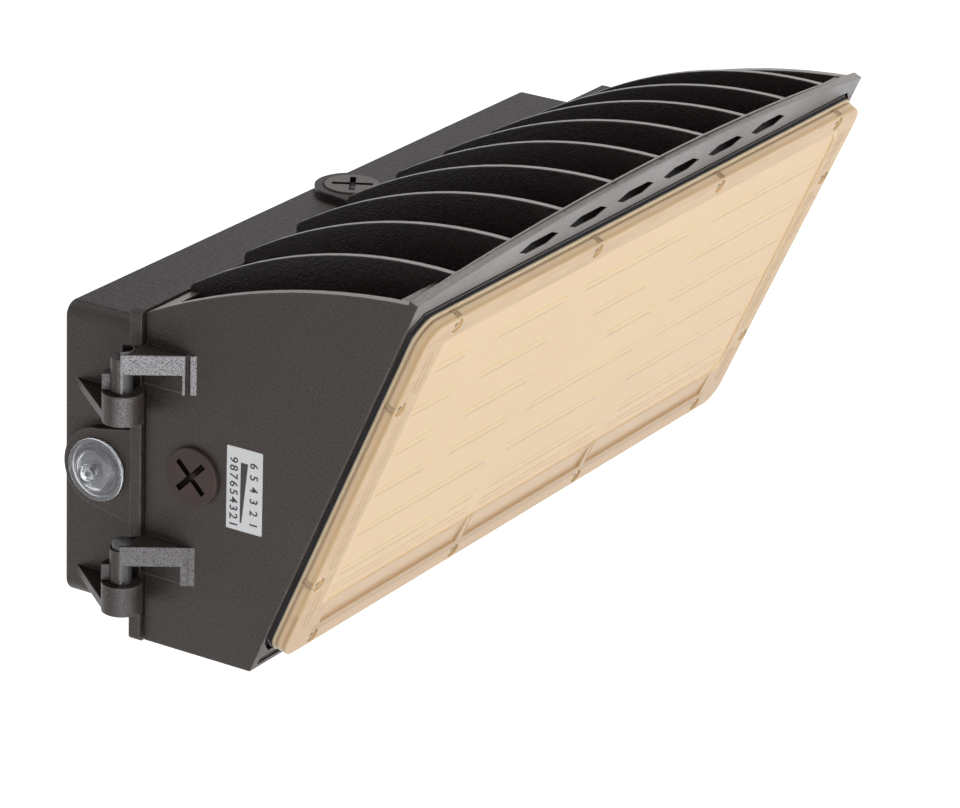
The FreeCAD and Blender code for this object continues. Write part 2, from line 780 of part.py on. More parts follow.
def lens_screws():
    """Pan head screws with a cross recess that hold the lens."""
    shapes = []
    for x, up in lens_screw_places():
        tip = 0.5 - lens_screw_reach
        shank = rod(lens_screw_shank, lens_screw_seat - tip, (x, up, tip), (0, 0, 1))
        head = rod(lens_screw_head, lens_screw_head_height, (x, up, lens_screw_seat), (0, 0, 1))
        top = lens_screw_seat + lens_screw_head_height
        rounded = [e for e in head.Edges if abs(e.CenterOfMass.z - top) < 0.01]
        head = head.makeFillet(lens_screw_head_height * 0.4, rounded)
        reach = lens_screw_head * 0.55
        bars = [block(x - reach, x + reach, up - 0.4, up + 0.4, top - 0.9, top + 1),
                block(x - 0.4, x + 0.4, up - reach, up + reach, top - 0.9, top + 1)]
        shapes.append(on_slant(shank.fuse(head).cut(group(bars))))
    return group(shapes)


# ---- light engine -----------------------------------------------------------
def board_centre(index):
    """Middle of a circuit board along the housing."""
    return (index - 1) * (board_width + board_gap)


def row_place(row):
    """Height up the slant of a row of diodes."""
    return row_first + row_pitch * row


def board_screw_places():
    """Four corners of each circuit board."""
    places = []
    for index in range(3):
        for side in (-1, 1):
            x = board_centre(index) + side * (board_width / 2.0 - board_screw_inset)
            for up in (board_low + board_screw_inset, board_low + board_height - board_screw_inset):
                places.append((x, up))
    return places


def led_board(index):
    """Metal core circuit board on the floor of the recess."""
    x = board_centre(index)
    half = board_width / 2.0
    base = block(x - half, x + half, board_low, board_low + board_height,
                 -led_recess, -led_recess + board_thickness)
    tools = []
    for hole_x, up in board_screw_places():
        if abs(hole_x - x) < half:
            tools.append(rod(board_screw_shank + plain_gap, 6, (hole_x, up, -led_recess - 1), (0, 0, 1)))
    return on_slant(cut_all(base, tools))


def led_chips(index):
    """Light emitting diodes in rows on one board."""
    low = -led_recess + board_thickness
    shapes = []
    for row in range(rib_rows):
        for place in range(led_per_row):
            x = board_centre(index) + board_width * ((place + 0.5) / led_per_row - 0.5) * led_spread
            up = row_place(row)
            half = led_size / 2.0
            shapes.append(on_slant(block(x - half, x + half, up - half, up + half, low, low + led_height)))
    return group(shapes)


def board_screws():
    """Flat screws that clamp the boards to the slanted plate."""
    seat = -led_recess + board_thickness
    shapes = []
    for x, up in board_screw_places():
        length = board_thickness + board_screw_reach
        shank = rod(board_screw_shank, length, (x, up, seat - length), (0, 0, 1))
        head = rod(board_screw_head, board_screw_head_height, (x, up, seat), (0, 0, 1))
        shapes.append(on_slant(shank.fuse(head)))
    return group(shapes)


# ---- hinge pins -------------------------------------------------------------
def hinge_pin(lift, domed):
    """Pin that is fast in the arm and turns in the knuckle."""
    start = knuckle_bottom + 0.6
    top = arm_top if domed else blind_pin_top()
    pin = rod(pin_radius, top - start, (hinge_x, hinge_y, start + lift), (0, 0, 1))
    if not domed:
        return pin
    ball = (pin_head ** 2 + pin_head_height ** 2) / (2.0 * pin_head_height)
    dome = Part.makeSphere(ball, Vector(hinge_x, hinge_y, arm_top + lift + pin_head_height - ball))
    slab = rod(2 * ball, pin_head_height, (hinge_x, hinge_y, arm_top + lift), (0, 0, 1))
    return pin.fuse(dome.common(slab)).removeSplitter()


# ---- screw plugs ------------------------------------------------------------
def plug_at_origin(turn):
    """Plug with its seat at the origin, its head upwards and its cross turned by an angle."""
    head = rod(plug_head, plug_head_height, (0, 0, plug_ring), (0, 0, 1))
    rounded = [e for e in head.Edges if e.CenterOfMass.z > plug_ring + plug_head_height - 0.01]
    head = head.makeFillet(0.5, rounded)
    stem = rod(plug_stem, plug_stem_length, (0, 0, plug_ring - plug_stem_length), (0, 0, 1))
    top = plug_ring + plug_head_height
    bars = []
    for angle in (turn, turn + 90):
        bar = block(-plug_cross_reach, plug_cross_reach, -plug_cross / 2.0, plug_cross / 2.0,
                    top - plug_cross_depth, top + 1)
        bar.rotate(Vector(0, 0, 0), Vector(0, 0, 1), angle)
        bars.append(bar)
    return stem.fuse(head).cut(bars[0].fuse(bars[1])).removeSplitter()


def ring_at_origin():
    """Flat sealing ring under the head of a plug."""
    outer = rod(plug_head - 0.3, plug_ring, (0, 0, 0), (0, 0, 1))
    return outer.cut(rod(plug_stem + plain_gap, plug_ring + 2, (0, 0, -1), (0, 0, 1)))


def on_cheek(shape):
    """Stands a piece made at the origin on the left cheek."""
    placed = shape.copy()
    turn = Rotation(Vector(0, 1, 0), -90)
    placed.Placement = Placement(Vector(-half_width, cheek_plug_y, cheek_plug_z), turn)
    return placed


def on_top(shape):
    """Stands a piece made at the origin in the seat of the top boss."""
    placed = shape.copy()
    seat = box_top + top_boss_height - top_seat
    placed.Placement = Placement(Vector(top_plug_x, top_plug_y, seat), Rotation())
    return placed


# ---- photocell --------------------------------------------------------------
def turned_on_side(points):
    """Solid of revolution about the photocell's axis, from radius and height pairs."""
    outline = [Vector(radius, 0, height) for radius, height in points]
    face = Part.Face(Part.makePolygon(outline + outline[:1]))
    solid = face.revolve(Vector(0, 0, 0), Vector(0, 0, 1), 360)
    side = -box_width / 2.0 - cell_pad_height
    solid.Placement = Placement(Vector(side, cell_y, cell_z), Rotation(Vector(0, 1, 0), -90))
    return solid


def photocell_cap():
    """Clear stepped cap over the sensor."""
    s = cell_seal
    return turned_on_side([
        (cell_radius - cell_skin - 2.0, s), (cell_radius, s), (cell_radius, s + cell_rim),
        (cell_step_radius, s + cell_rim), (cell_step_radius, s + cell_step),
        (cell_nose_radius, s + cell_step), (cell_nose_radius, s + cell_nose),
        (0, s + cell_nose), (0, s + cell_nose - cell_skin),
        (cell_nose_radius - cell_skin, s + cell_nose - cell_skin),
        (cell_nose_radius - cell_skin, s + cell_step - cell_skin),
        (cell_step_radius - cell_skin, s + cell_step - cell_skin),
        (cell_step_radius - cell_skin, s + cell_base + 0.2),
        (cell_radius - cell_skin - 2.0, s + cell_base + 0.2),
    ])


def photocell_seal():
    """Rubber ring between the cap and the pad."""
    return turned_on_side([(cell_stem + plain_gap, 0), (cell_radius - 0.4, 0),
                           (cell_radius - 0.4, cell_seal), (cell_stem + plain_gap, cell_seal)])


def photocell_base():
    """Threaded stem and disc that carry the sensor."""
    s = cell_seal
    stem = cell_stem - plain_gap
    disc = cell_radius - cell_skin - 2.3
    return turned_on_side([
        (0, s - cell_stem_length), (stem, s - cell_stem_length), (stem, s),
        (disc, s), (disc, s + cell_base), (0, s + cell_base),
    ])


def photocell_sensor():
    """Small light sensor that looks out through the nose of the cap."""
    s = cell_seal + cell_base
    return turned_on_side([(0, s), (2.1, s), (2.1, s + 2.6), (1.4, s + 3.6), (0, s + 4.0)])


def photocell_nut():
    """Six sided nut inside the box."""
    inner_face = -box_width / 2.0 + box_wall
    corners = []
    for step in range(6):
        angle = math.radians(60 * step)
        corners.append((inner_face, cell_y + cell_nut * math.cos(angle),
                        cell_z + cell_nut * math.sin(angle)))
    nut = prism(corners, (cell_nut_height, 0, 0))
    start = (inner_face - 5, cell_y, cell_z)
    return nut.cut(rod(cell_stem - plain_gap + running_gap, 20, start, (1, 0, 0)))


def wire(points, leave, arrive):
    """Round lead through a few points that starts and ends along given directions."""
    route = Part.BSplineCurve()
    route.interpolate(Points=[Vector(*point) for point in points],
                      InitialTangent=Vector(*leave) * lead_pull, FinalTangent=Vector(*arrive) * lead_pull)
    path = Part.Wire(route.toShape())
    ring = Part.Wire(Part.makeCircle(lead_radius, Vector(*points[0]), Vector(*leave)))
    return path.makePipeShell([ring], True, False)


def photocell_leads():
    """Three leads from the photocell to the terminal block."""
    inside = -box_width / 2.0 - cell_pad_height + cell_stem_length - cell_seal
    shapes = []
    for index in range(3):
        shift = (index - 1) * 3.0
        end_x = terminal_x + (index - 1) * terminal_pitch
        shapes.append(wire([
            (inside, cell_y, cell_z + shift),
            (terminal_x - 32 + index * 3, terminal_wire_y, cell_z - 5 + shift),
            (end_x, terminal_wire_y, terminal_top),
        ], (1, 0, 0), (0, 0, -1)))
    return group(shapes)


# ---- pieces inside the back box ---------------------------------------------
def terminal_block():
    """Three way terminal block for the supply."""
    half = terminal_pitch * 1.5
    body = block(terminal_x - half, terminal_x + half, -box_wall, -box_wall - terminal_depth,
                 terminal_top - terminal_height, terminal_top)
    tools = []
    for index in range(3):
        x = terminal_x + (index - 1) * terminal_pitch
        start = (x, -box_wall - terminal_depth + 5, terminal_top - terminal_height / 2.0)
        tools.append(rod(2.2, 8, start, (0, -1, 0)))
    return cut_all(body, tools)


def terminal_screws():
    """Clamp screws in the terminal block."""
    shapes = []
    for index in range(3):
        x = terminal_x + (index - 1) * terminal_pitch
        start = (x, -box_wall - terminal_depth + 5, terminal_top - terminal_height / 2.0)
        screw = rod(2.0, 3.6, start, (0, -1, 0))
        end = -box_wall - terminal_depth + 1.4
        slot = block(x - 3, x + 3, end + 1.0, end - 1.0, terminal_top - terminal_height / 2.0 - 0.35,
                     terminal_top - terminal_height / 2.0 + 0.35)
        shapes.append(screw.cut(slot))
    return group(shapes)


def ground_screw():
    """Earth screw on the back wall of the box."""
    washer = rod(5.0, 1.0, (ground_x, -box_wall, ground_z), (0, -1, 0))
    corners = []
    for step in range(6):
        angle = math.radians(60 * step)
        corners.append((ground_x + 4.0 * math.cos(angle), -box_wall - 1.0,
                        ground_z + 4.0 * math.sin(angle)))
    head = prism(corners, (0, -3.0, 0))
    slot = block(ground_x - 5, ground_x + 5, -box_wall - 3.0, -box_wall - 5.0,
                 ground_z - 0.5, ground_z + 0.5)
    return washer.fuse(head).removeSplitter().cut(slot)


def wire_bushing():
    """Rubber bushing in the wire entry hole."""
    collar = rod(wire_hole + 2.0, 1.6, (0, -box_wall, wire_hole_z), (0, -1, 0))
    sleeve = rod(wire_hole - plain_gap, box_wall, (0, 0, wire_hole_z), (0, -1, 0))
    bore = rod(wire_hole - 2.5, 20, (0, 5, wire_hole_z), (0, -1, 0))
    return collar.fuse(sleeve).removeSplitter().cut(bore)


# ---- closure screws ---------------------------------------------------------
def closure_washer(z):
    """Captive washer under the head of a closure screw."""
    start = (closure_x(), -housing_back - ear_thickness, z)
    ring = rod(closure_head + 0.5, closure_washer_height, start, (0, -1, 0))
    return ring.cut(rod(closure_shank + running_gap, 10, (closure_x(), -housing_back, z), (0, -1, 0)))


def closure_screw(z):
    """Screw that holds the housing shut against the flange."""
    seat = housing_back + ear_thickness + closure_washer_height
    tip = flange_front - closure_reach
    shank = rod(closure_shank, seat - tip, (closure_x(), -tip, z), (0, -1, 0))
    head = rod(closure_head, closure_head_height, (closure_x(), -seat, z), (0, -1, 0))
    top = seat + closure_head_height
    rounded = [e for e in head.Edges if e.BoundBox.YMax < -top + 0.01]
    head = head.makeFillet(0.8, rounded)
    bars = []
    for wide, tall in ((3.0, 0.6), (0.6, 3.0)):
        bars.append(block(closure_x() - wide, closure_x() + wide, -top - 1, -top + 1.6,
                          z - tall, z + tall))
    return shank.fuse(head).removeSplitter().cut(bars[0].fuse(bars[1]))


# ---- driver -----------------------------------------------------------------
def driver_ends():
    """Left and right ends, back and front, bottom and top of the driver."""
    low = housing_bottom + housing_wall + bracket_thickness
    back = -housing_back - driver_back_gap
    front = -plate_back(low) + driver_front_gap
    half = driver_length / 2.0
    return driver_x - half, driver_x + half, back, front, low, low + driver_height


def bracket_screw_places():
    """Screws through the two tabs of the bracket."""
    left, right, back, front, low, top = driver_ends()
    tab = bracket_tab / 2.0
    depths = (back - bracket_screw_inset, front + bracket_screw_inset)
    return [(x, y) for x in (left - tab, right + tab) for y in depths]


def driver_case():
    """Open topped aluminium case."""
    left, right, back, front, low, top = driver_ends()
    outer = block(left, right, back, front, low, top - driver_wall)
    inner = block(left + driver_wall, right - driver_wall, back - driver_wall, front + driver_wall,
                  low + driver_wall, top)
    return outer.cut(inner)


def driver_lid():
    """Cover plate of the driver."""
    left, right, back, front, low, top = driver_ends()
    return block(left, right, back, front, top - driver_wall, top)


def driver_board():
    """Circuit board standing on the floor of the case."""
    left, right, back, front, low, top = driver_ends()
    floor = low + driver_wall
    return block(left + driver_board_gap, right - driver_board_gap, back - driver_board_gap,
                 front + driver_board_gap, floor, floor + driver_board_thickness)


def driver_components():
    """Transformer, coils and capacitors on the driver's board."""
    left, right, back, front, low, top = driver_ends()
    floor = low + driver_wall + driver_board_thickness
    middle = (back + front) / 2.0
    depth = back - front
    half = depth * 0.35
    core = block(driver_x - driver_length * 0.1, driver_x + driver_length * 0.08,
                 middle - half, middle + half, floor, floor + driver_height * 0.48)
    shapes = [core]
    for place, radius, height in driver_parts:
        start = (driver_x + driver_length * place, middle, floor)
        shapes.append(rod(depth * radius, driver_height * height, start, (0, 0, 1)))
    return group(shapes)


def driver_bracket():
    """Steel tray that holds the driver down on the floor of the housing."""
    left, right, back, front, low, top = driver_ends()
    floor = low - bracket_thickness
    base = block(left - bracket_tab, right + bracket_tab, back, front, floor, low)
    lips = [
        block(left - bracket_thickness, left, back, front, floor, low + bracket_lip),
        block(right, right + bracket_thickness, back, front, floor, low + bracket_lip),
    ]
    tray = joined(base, lips)
    tools = []
    for x, y in bracket_screw_places():
        tools.append(rod(bracket_screw + plain_gap, 6, (x, y, floor - 1), (0, 0, 1)))
    return cut_all(tray, tools)


def bracket_screws():
    """Screws that hold the bracket to the housing."""
    floor = housing_bottom + housing_wall + bracket_thickness
    shapes = []
    for x, y in bracket_screw_places():
        length = bracket_thickness + bracket_screw_reach
        shank = rod(bracket_screw, length, (x, y, floor - length), (0, 0, 1))
        head = rod(bracket_screw * 1.9, bracket_screw_head, (x, y, floor), (0, 0, 1))
        top = floor + bracket_screw_head
        slot = block(x - bracket_screw * 2, x + bracket_screw * 2, y - 0.4, y + 0.4, top - 0.8, top + 1)
        shapes.append(shank.fuse(head).cut(slot))
    return group(shapes)


def led_leads():
    """Two leads from the driver through the slanted plate to the middle board."""
    left, right, back, front, low, top = driver_ends()
    shapes = []
    before_y, before_z = slant_point(lead_up, -front_plate)
    end_y, end_z = slant_point(lead_up, -led_recess)
    out = (0, end_y - before_y, end_z - before_z)
    for side in (-1, 1):
        shift = side * lead_spread
        shapes.append(wire([
            (left, (back + front) / 2.0 + shift, top - lead_drop),
            (lead_x + shift, before_y, before_z),
            (lead_x + shift, end_y, end_z),
        ], (-1, 0, 0), out))
    return group(shapes)


# ---- selector behind the cheek plug -----------------------------------------
def switch_centres():
    """Places of the two slide switches along the housing's depth."""
    return (cheek_plug_y - switch_spacing / 2.0, cheek_plug_y + switch_spacing / 2.0)


def selector_circuit():
    """Small circuit board on two posts of the cheek."""
    base = block(selector_x, selector_x + selector_board, cheek_plug_y - selector_width / 2.0,
                 cheek_plug_y + selector_width / 2.0, cheek_plug_z - selector_height / 2.0,
                 cheek_plug_z + selector_height / 2.0)
    tools = []
    for y, z in selector_places():
        start = (selector_x - selector_board, y, z)
        tools.append(rod(selector_screw + plain_gap, 3 * selector_board, start, (1, 0, 0)))
    return cut_all(base, tools)


def selector_screws():
    """Screws that hold the selector circuit."""
    shapes = []
    for y, z in selector_places():
        head_x = selector_x + selector_board
        start = (selector_x - selector_screw_reach, y, z)
        shank = rod(selector_screw, selector_board + selector_screw_reach, start, (1, 0, 0))
        head = rod(selector_screw * 1.9, selector_screw_head_height, (head_x, y, z), (1, 0, 0))
        shapes.append(shank.fuse(head))
    return group(shapes)


def switch_case(y, travel):
    """Slide switch housing with a slot for its lever."""
    low = cheek_plug_z - switch_length / 2.0
    case = block(selector_x - switch_height, selector_x, y - switch_width / 2.0, y + switch_width / 2.0,
                 low, low + switch_length)
    half = (travel + slider_size) / 2.0 + touch_gap
    slot = block(selector_x - switch_height - 1, selector_x - 1.0, y - slider_size / 2.0 - touch_gap,
                 y + slider_size / 2.0 + touch_gap, cheek_plug_z - half, cheek_plug_z + half)
    return case.cut(slot)


def switch_lever(y):
    """Lever of a slide switch, in the middle of its travel."""
    half = slider_size / 2.0
    return block(selector_x - switch_height - slider_proud, selector_x - 1.0 - touch_gap, y - half, y + half,
                 cheek_plug_z - half, cheek_plug_z + half)


def setting_label():
    """Printed label beside the cheek plug."""
    half = label_height / 2.0
    face = -half_width
    sheet = block(face - label_thickness, face, label_y - label_width / 2.0, label_y + label_width / 2.0,
                  label_z - half, label_z + half)
    corners = [e for e in sheet.Edges if abs(e.tangentAt(e.FirstParameter).x) > 0.9]
    return sheet.makeFillet(0.6, corners)


# ---- write every sub-part ---------------------------------------------------
save(back_box(), "back_box")
save(box_gasket(), "box_gasket")
save(photocell_cap(), "photocell_cap")
save(photocell_seal(), "photocell_seal")
save(photocell_base(), "photocell_base")
save(photocell_sensor(), "photocell_sensor")
save(photocell_nut(), "photocell_nut")
save(photocell_leads(), "photocell_leads")
save(terminal_block(), "terminal_block")
save(terminal_screws(), "terminal_screws")
save(ground_screw(), "ground_screw")
save(wire_bushing(), "wire_bushing")
save(on_top(ring_at_origin()), "top_plug_seal")
save(on_top(plug_at_origin(top_cross_turn)), "top_plug")
save(front_housing(), "front_housing")
save(hinge_pin(0.0, False), "hinge_pin_upper")
save(hinge_pin(-hinge_step, True), "hinge_pin_lower")
save(lens_gasket(), "lens_gasket")
save(lens(), "lens")
save(lens_screws(), "lens_screws")
for number, side_name in enumerate(("left", "middle", "right")):
    save(led_board(number), "led_board_" + side_name)
    save(led_chips(number), "leds_" + side_name)
save(board_screws(), "led_board_screws")
save(driver_case(), "driver_case")
save(driver_lid(), "driver_lid")
save(driver_board(), "driver_board")
save(driver_components(), "driver_components")
save(driver_bracket(), "driver_bracket")
save(bracket_screws(), "driver_bracket_screws")
save(led_leads(), "led_leads")
save(selector_circuit(), "selector_board")
save(selector_screws(), "selector_board_screws")
power_y, colour_y = switch_centres()
save(switch_case(power_y, power_travel), "power_switch")
save(switch_case(colour_y, colour_travel), "colour_switch")
save(switch_lever(power_y), "power_switch_lever")
save(switch_lever(colour_y), "colour_switch_lever")
save(on_cheek(ring_at_origin()), "cheek_plug_seal")
save(on_cheek(plug_at_origin(cheek_cross_turn)), "cheek_plug")
save(setting_label(), "setting_label")
for place, height in zip(("lower", "upper"), ear_places):
    save(closure_washer(height), "closure_washer_" + place)
    save(closure_screw(height), "closure_screw_" + place)
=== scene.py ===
import json
import math

import bmesh
import bpy
from mathutils import Matrix, Vector


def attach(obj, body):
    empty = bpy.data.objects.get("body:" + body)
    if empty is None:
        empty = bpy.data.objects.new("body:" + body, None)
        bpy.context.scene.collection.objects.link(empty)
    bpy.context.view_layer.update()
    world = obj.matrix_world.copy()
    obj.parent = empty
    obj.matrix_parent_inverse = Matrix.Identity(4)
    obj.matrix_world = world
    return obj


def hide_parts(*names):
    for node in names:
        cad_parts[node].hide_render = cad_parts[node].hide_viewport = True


# LED wall pack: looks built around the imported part. Metres, the part's frame:
# +X right seen from the front, -Y away from the wall, +Z up, origin on the wall.

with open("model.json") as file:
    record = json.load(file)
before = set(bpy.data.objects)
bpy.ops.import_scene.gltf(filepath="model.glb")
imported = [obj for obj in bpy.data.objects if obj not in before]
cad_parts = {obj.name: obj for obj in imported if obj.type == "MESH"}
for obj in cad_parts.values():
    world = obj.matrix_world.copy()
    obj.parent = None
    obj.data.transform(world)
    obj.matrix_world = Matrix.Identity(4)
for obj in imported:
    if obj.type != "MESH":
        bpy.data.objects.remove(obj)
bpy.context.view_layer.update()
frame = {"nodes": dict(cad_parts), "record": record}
nodes = frame["nodes"]

# ---- camera ------------------------------------------------------------------
CAMERA_PLACE = Vector((-1.5243, -1.0094, 0.6925))
CAMERA_AZIMUTH = -58.85
CAMERA_ELEVATION = 21.69
CAMERA_ROLL = 2.12
CAMERA_LENS = 169.42


def camera_turn():
    """Rows of the fitted camera: right, up and back, turned by the roll."""
    azimuth = math.radians(CAMERA_AZIMUTH)
    elevation = math.radians(CAMERA_ELEVATION)
    back = Vector((math.sin(azimuth) * math.cos(elevation), -math.cos(azimuth) * math.cos(elevation),
                   math.sin(elevation)))
    right = Vector((math.cos(azimuth), math.sin(azimuth), 0.0))
    up = back.cross(right)
    roll = math.radians(CAMERA_ROLL)
    rolled_right = right * math.cos(roll) + up * math.sin(roll)
    rolled_up = up * math.cos(roll) - right * math.sin(roll)
    return Matrix((rolled_right, rolled_up, back)).transposed()


def make_camera():
    data = bpy.data.cameras.new("camera")
    data.lens = CAMERA_LENS
    data.sensor_width = 36.0
    data.clip_start = 0.05
    data.clip_end = 50.0
    camera = bpy.data.objects.new("camera", data)
    camera.matrix_world = Matrix.Translation(CAMERA_PLACE) @ camera_turn().to_4x4()
    bpy.context.scene.collection.objects.link(camera)
    bpy.context.scene.camera = camera
    bpy.context.scene.view_settings.view_transform = "Standard"


# ---- shader helpers ----------------------------------------------------------
def opaque(color):
    """Adds full alpha to a plain colour; sockets and numbers stay as they are."""
    return (*color, 1.0) if isinstance(color, tuple) and len(color) == 3 else color


class Shader:
    """Small builder for node materials."""

    def __init__(self, name):
        self.material = bpy.data.materials.new(name)
        self.material.use_nodes = True
        self.tree = self.material.node_tree
        self.tree.nodes.clear()
        self.output = self.tree.nodes.new("ShaderNodeOutputMaterial")
        own = self.tree.nodes.new("ShaderNodeTexCoord").outputs
        self.coords = own["Object"]
        self.own_normal = own["Normal"]

    def node(self, kind, inputs=None, **settings):
        made = self.tree.nodes.new(kind)
        for key, value in settings.items():
            setattr(made, key, value)
        for key, value in (inputs or {}).items():
            self.put(made.inputs[key], value)
        return made

    def put(self, socket, value):
        if isinstance(value, bpy.types.NodeSocket):
            self.tree.links.new(value, socket)
        else:
            socket.default_value = value

    def noise(self, scale, detail=2.0, roughness=0.5, vector=None):
        made = self.node("ShaderNodeTexNoise", {"Vector": vector or self.coords, "Scale": scale,
                                                "Detail": detail, "Roughness": roughness})
        return made.outputs["Fac"]

    def cells(self, scale, vector=None):
        made = self.node("ShaderNodeTexVoronoi", {"Vector": vector or self.coords, "Scale": scale})
        return made.outputs["Distance"]

    def mix(self, factor, first, second):
        made = self.node("ShaderNodeMix", data_type="RGBA")
        self.put(made.inputs["Factor"], factor)
        self.put(made.inputs["A"], opaque(first))
        self.put(made.inputs["B"], opaque(second))
        return made.outputs["Result"]

    def math(self, operation, first, second=0.0, clamp=False):
        made = self.node("ShaderNodeMath", operation=operation, use_clamp=clamp)
        self.put(made.inputs[0], first)
        self.put(made.inputs[1], second)
        return made.outputs["Value"]

    def times(self, *values):
        """Product of several values."""
        product = values[0]
        for value in values[1:]:
            product = self.math("MULTIPLY", product, value)
        return product

    def dot(self, vector, direction):
        made = self.node("ShaderNodeVectorMath", operation="DOT_PRODUCT")
        self.put(made.inputs[0], vector)
        self.put(made.inputs[1], direction)
        return made.outputs["Value"]

    def axes(self, vector):
        return self.node("ShaderNodeSeparateXYZ", {"Vector": vector}).outputs

    def between(self, value, low, high, soft):
        """Near 1 while a value lies between two limits."""
        return self.times(self.span(value, low - soft, low), self.span(value, high + soft, high))

    def span(self, value, low, high, to_low=0.0, to_high=1.0):
        made = self.node("ShaderNodeMapRange", {"Value": value, "From Min": low, "From Max": high,
                                                "To Min": to_low, "To Max": to_high})
        return made.outputs["Result"]

    def bump(self, height, strength, distance, normal=None):
        inputs = {"Height": height, "Strength": strength, "Distance": distance}
        if normal is not None:
            inputs["Normal"] = normal
        return self.node("ShaderNodeBump", inputs).outputs["Normal"]

    def rounded(self, radius):
        return self.node("ShaderNodeBevel", {"Radius": radius}, samples=6).outputs["Normal"]

    def edges(self, radius):
        """Near 1 where the surface turns sharply, 0 on flat ground."""
        flat = self.node("ShaderNodeNewGeometry").outputs["Normal"]
        return self.span(self.dot(flat, self.rounded(radius)), 0.995, 0.8)

    def hollow(self, distance, open_share=0.7, shut_share=0.42):
        """Near 1 deep in slots, grooves and narrow corners, 0 on open ground."""
        seen = self.node("ShaderNodeAmbientOcclusion", {"Distance": distance}, samples=8, only_local=True)
        return self.span(seen.outputs["AO"], open_share, shut_share)

    def facing(self, direction, low, high):
        """Near 1 where the surface faces a direction of the part's own frame."""
        return self.span(self.dot(self.own_normal, direction), low, high)

    def principled(self, **inputs):
        made = self.node("ShaderNodeBsdfPrincipled")
        for key, value in inputs.items():
            self.put(made.inputs[key.replace("_", " ")], opaque(value))
        self.tree.links.new(made.outputs["BSDF"], self.output.inputs["Surface"])
        return made


def rgb(red, green, blue):
    """Linear colour of an 8 bit screen colour."""
    return tuple((c / 255.0 / 12.92) if c / 255.0 <= 0.04045 else ((c / 255.0 + 0.055) / 1.055) ** 2.4
                 for c in (red, green, blue))


# ---- the slanted front --------------------------------------------------------
SLANT_FOOT = 0.0948
SLANT_REACH = 0.0732
SLANT_RISE = 0.1703
SLANT_LENGTH = math.hypot(SLANT_REACH, SLANT_RISE)
HOUSING_BOTTOM = -0.071
LEAN = SLANT_REACH / SLANT_LENGTH
CLIMB = SLANT_RISE / SLANT_LENGTH

# the lens, half widths along the front, heights up it and distances out of it
LENS_HALF = 0.177
LENS_LOW = 0.0091
LENS_HIGH = 0.1788
LENS_CUT = 0.0065
LENS_BACK = 0.0018
LENS_FRONT = 0.008
PANEL_HALF = 0.1605
PANEL_LOW = 0.0335
PANEL_HIGH = 0.1675
PANEL_FACE = 0.0074
SCREW_SEAT = 0.005
SCREW_INSET = 0.0052
SCREW_POCKET = 0.00345
SCREWS_ALONG = (-0.155, -0.05, 0.05, 0.155)
SCREWS_UP = (0.0488, 0.1385)


def on_slant(x, up, out):
    """Place on the slanted front: along it, up it and out of it."""
    return Vector((x, -SLANT_FOOT - LEAN * up - CLIMB * out, HOUSING_BOTTOM + CLIMB * up - LEAN * out))


def slant_coordinates(s):
    """Sockets for the height up the slant, the distance out of it and the distance from its middle."""
    parts = s.axes(s.coords)
    away = s.times(s.math("ADD", parts["Y"], SLANT_FOOT), -1.0)
    height = s.math("SUBTRACT", parts["Z"], HOUSING_BOTTOM)
    up = s.math("ADD", s.times(away, LEAN), s.times(height, CLIMB))
    out = s.math("SUBTRACT", s.times(away, CLIMB), s.times(height, LEAN))
    return up, out, s.math("ABSOLUTE", parts["X"])


# ---- materials ---------------------------------------------------------------
UPWARD = (0.0, 0.0, 1.0)
FRONT_FACE = (0.0, -0.919, -0.395)
HINGE_FACE = (-0.823, -0.568, 0.0)   # front of both hinge arms
HINGE_SIDE = -0.1832                 # everything beyond it belongs to the hinges
ARM_FRONT = (0.1858, 0.1863)         # how far the arms reach along HINGE_FACE
RIDGES_ABOVE = 0.0665
RIDGES_BEYOND = -0.0437
LIP_FOOT = (0.088, 0.094)
FIN_FOOT = 0.031
CHEEK_INSIDE = 0.1745
SLOT_LOW = SLANT_LENGTH - 0.0030
SLOT_HIGH = SLANT_LENGTH + 0.0053
SLOTS_REACH = 0.1095
SLOT_BACK = -0.0041


def hinge_glint(s, place, glint_share):
    """Mask of the hinge fronts, speckled with a painted glint where they catch the light."""
    outside = s.times(s.span(place["X"], HINGE_SIDE, HINGE_SIDE - 0.0008), s.facing(HINGE_FACE, 0.84, 1.0))
    flat = s.times(s.facing(HINGE_FACE, 0.985, 0.995), s.span(s.dot(s.coords, HINGE_FACE), *ARM_FRONT))
    glint_spots = s.math("MAXIMUM", s.times(outside, 0.4), s.times(flat, glint_share))
    return s.times(glint_spots, s.span(s.noise(1900.0, 1.0, 0.5), 0.36, 0.52, 0.15, 1.0))


def fin_sides(s, place, side):
    """Mask of the walls between the fins, which are darkened there as painted shade."""
    across = s.math("ABSOLUTE", s.axes(s.own_normal)["X"])
    return s.times(s.span(across, 0.6, 0.9), s.span(place["Z"], FIN_FOOT, FIN_FOOT + 0.001),
                  s.span(side, CHEEK_INSIDE, CHEEK_INSIDE - 0.001))


def slot_walls(s, up, out, side):
    """Mask of the walls inside the slots of the lip, which are darkened there as painted shade."""
    deep = s.times(s.span(out, -0.0002, -0.0005), s.span(out, SLOT_BACK, SLOT_BACK + 0.0002))
    return s.times(s.between(up, SLOT_LOW, SLOT_HIGH, 0.0002), deep,
                  s.times(s.facing(FRONT_FACE, 0.5, 0.3), s.span(side, SLOTS_REACH + 0.0002, SLOTS_REACH)))


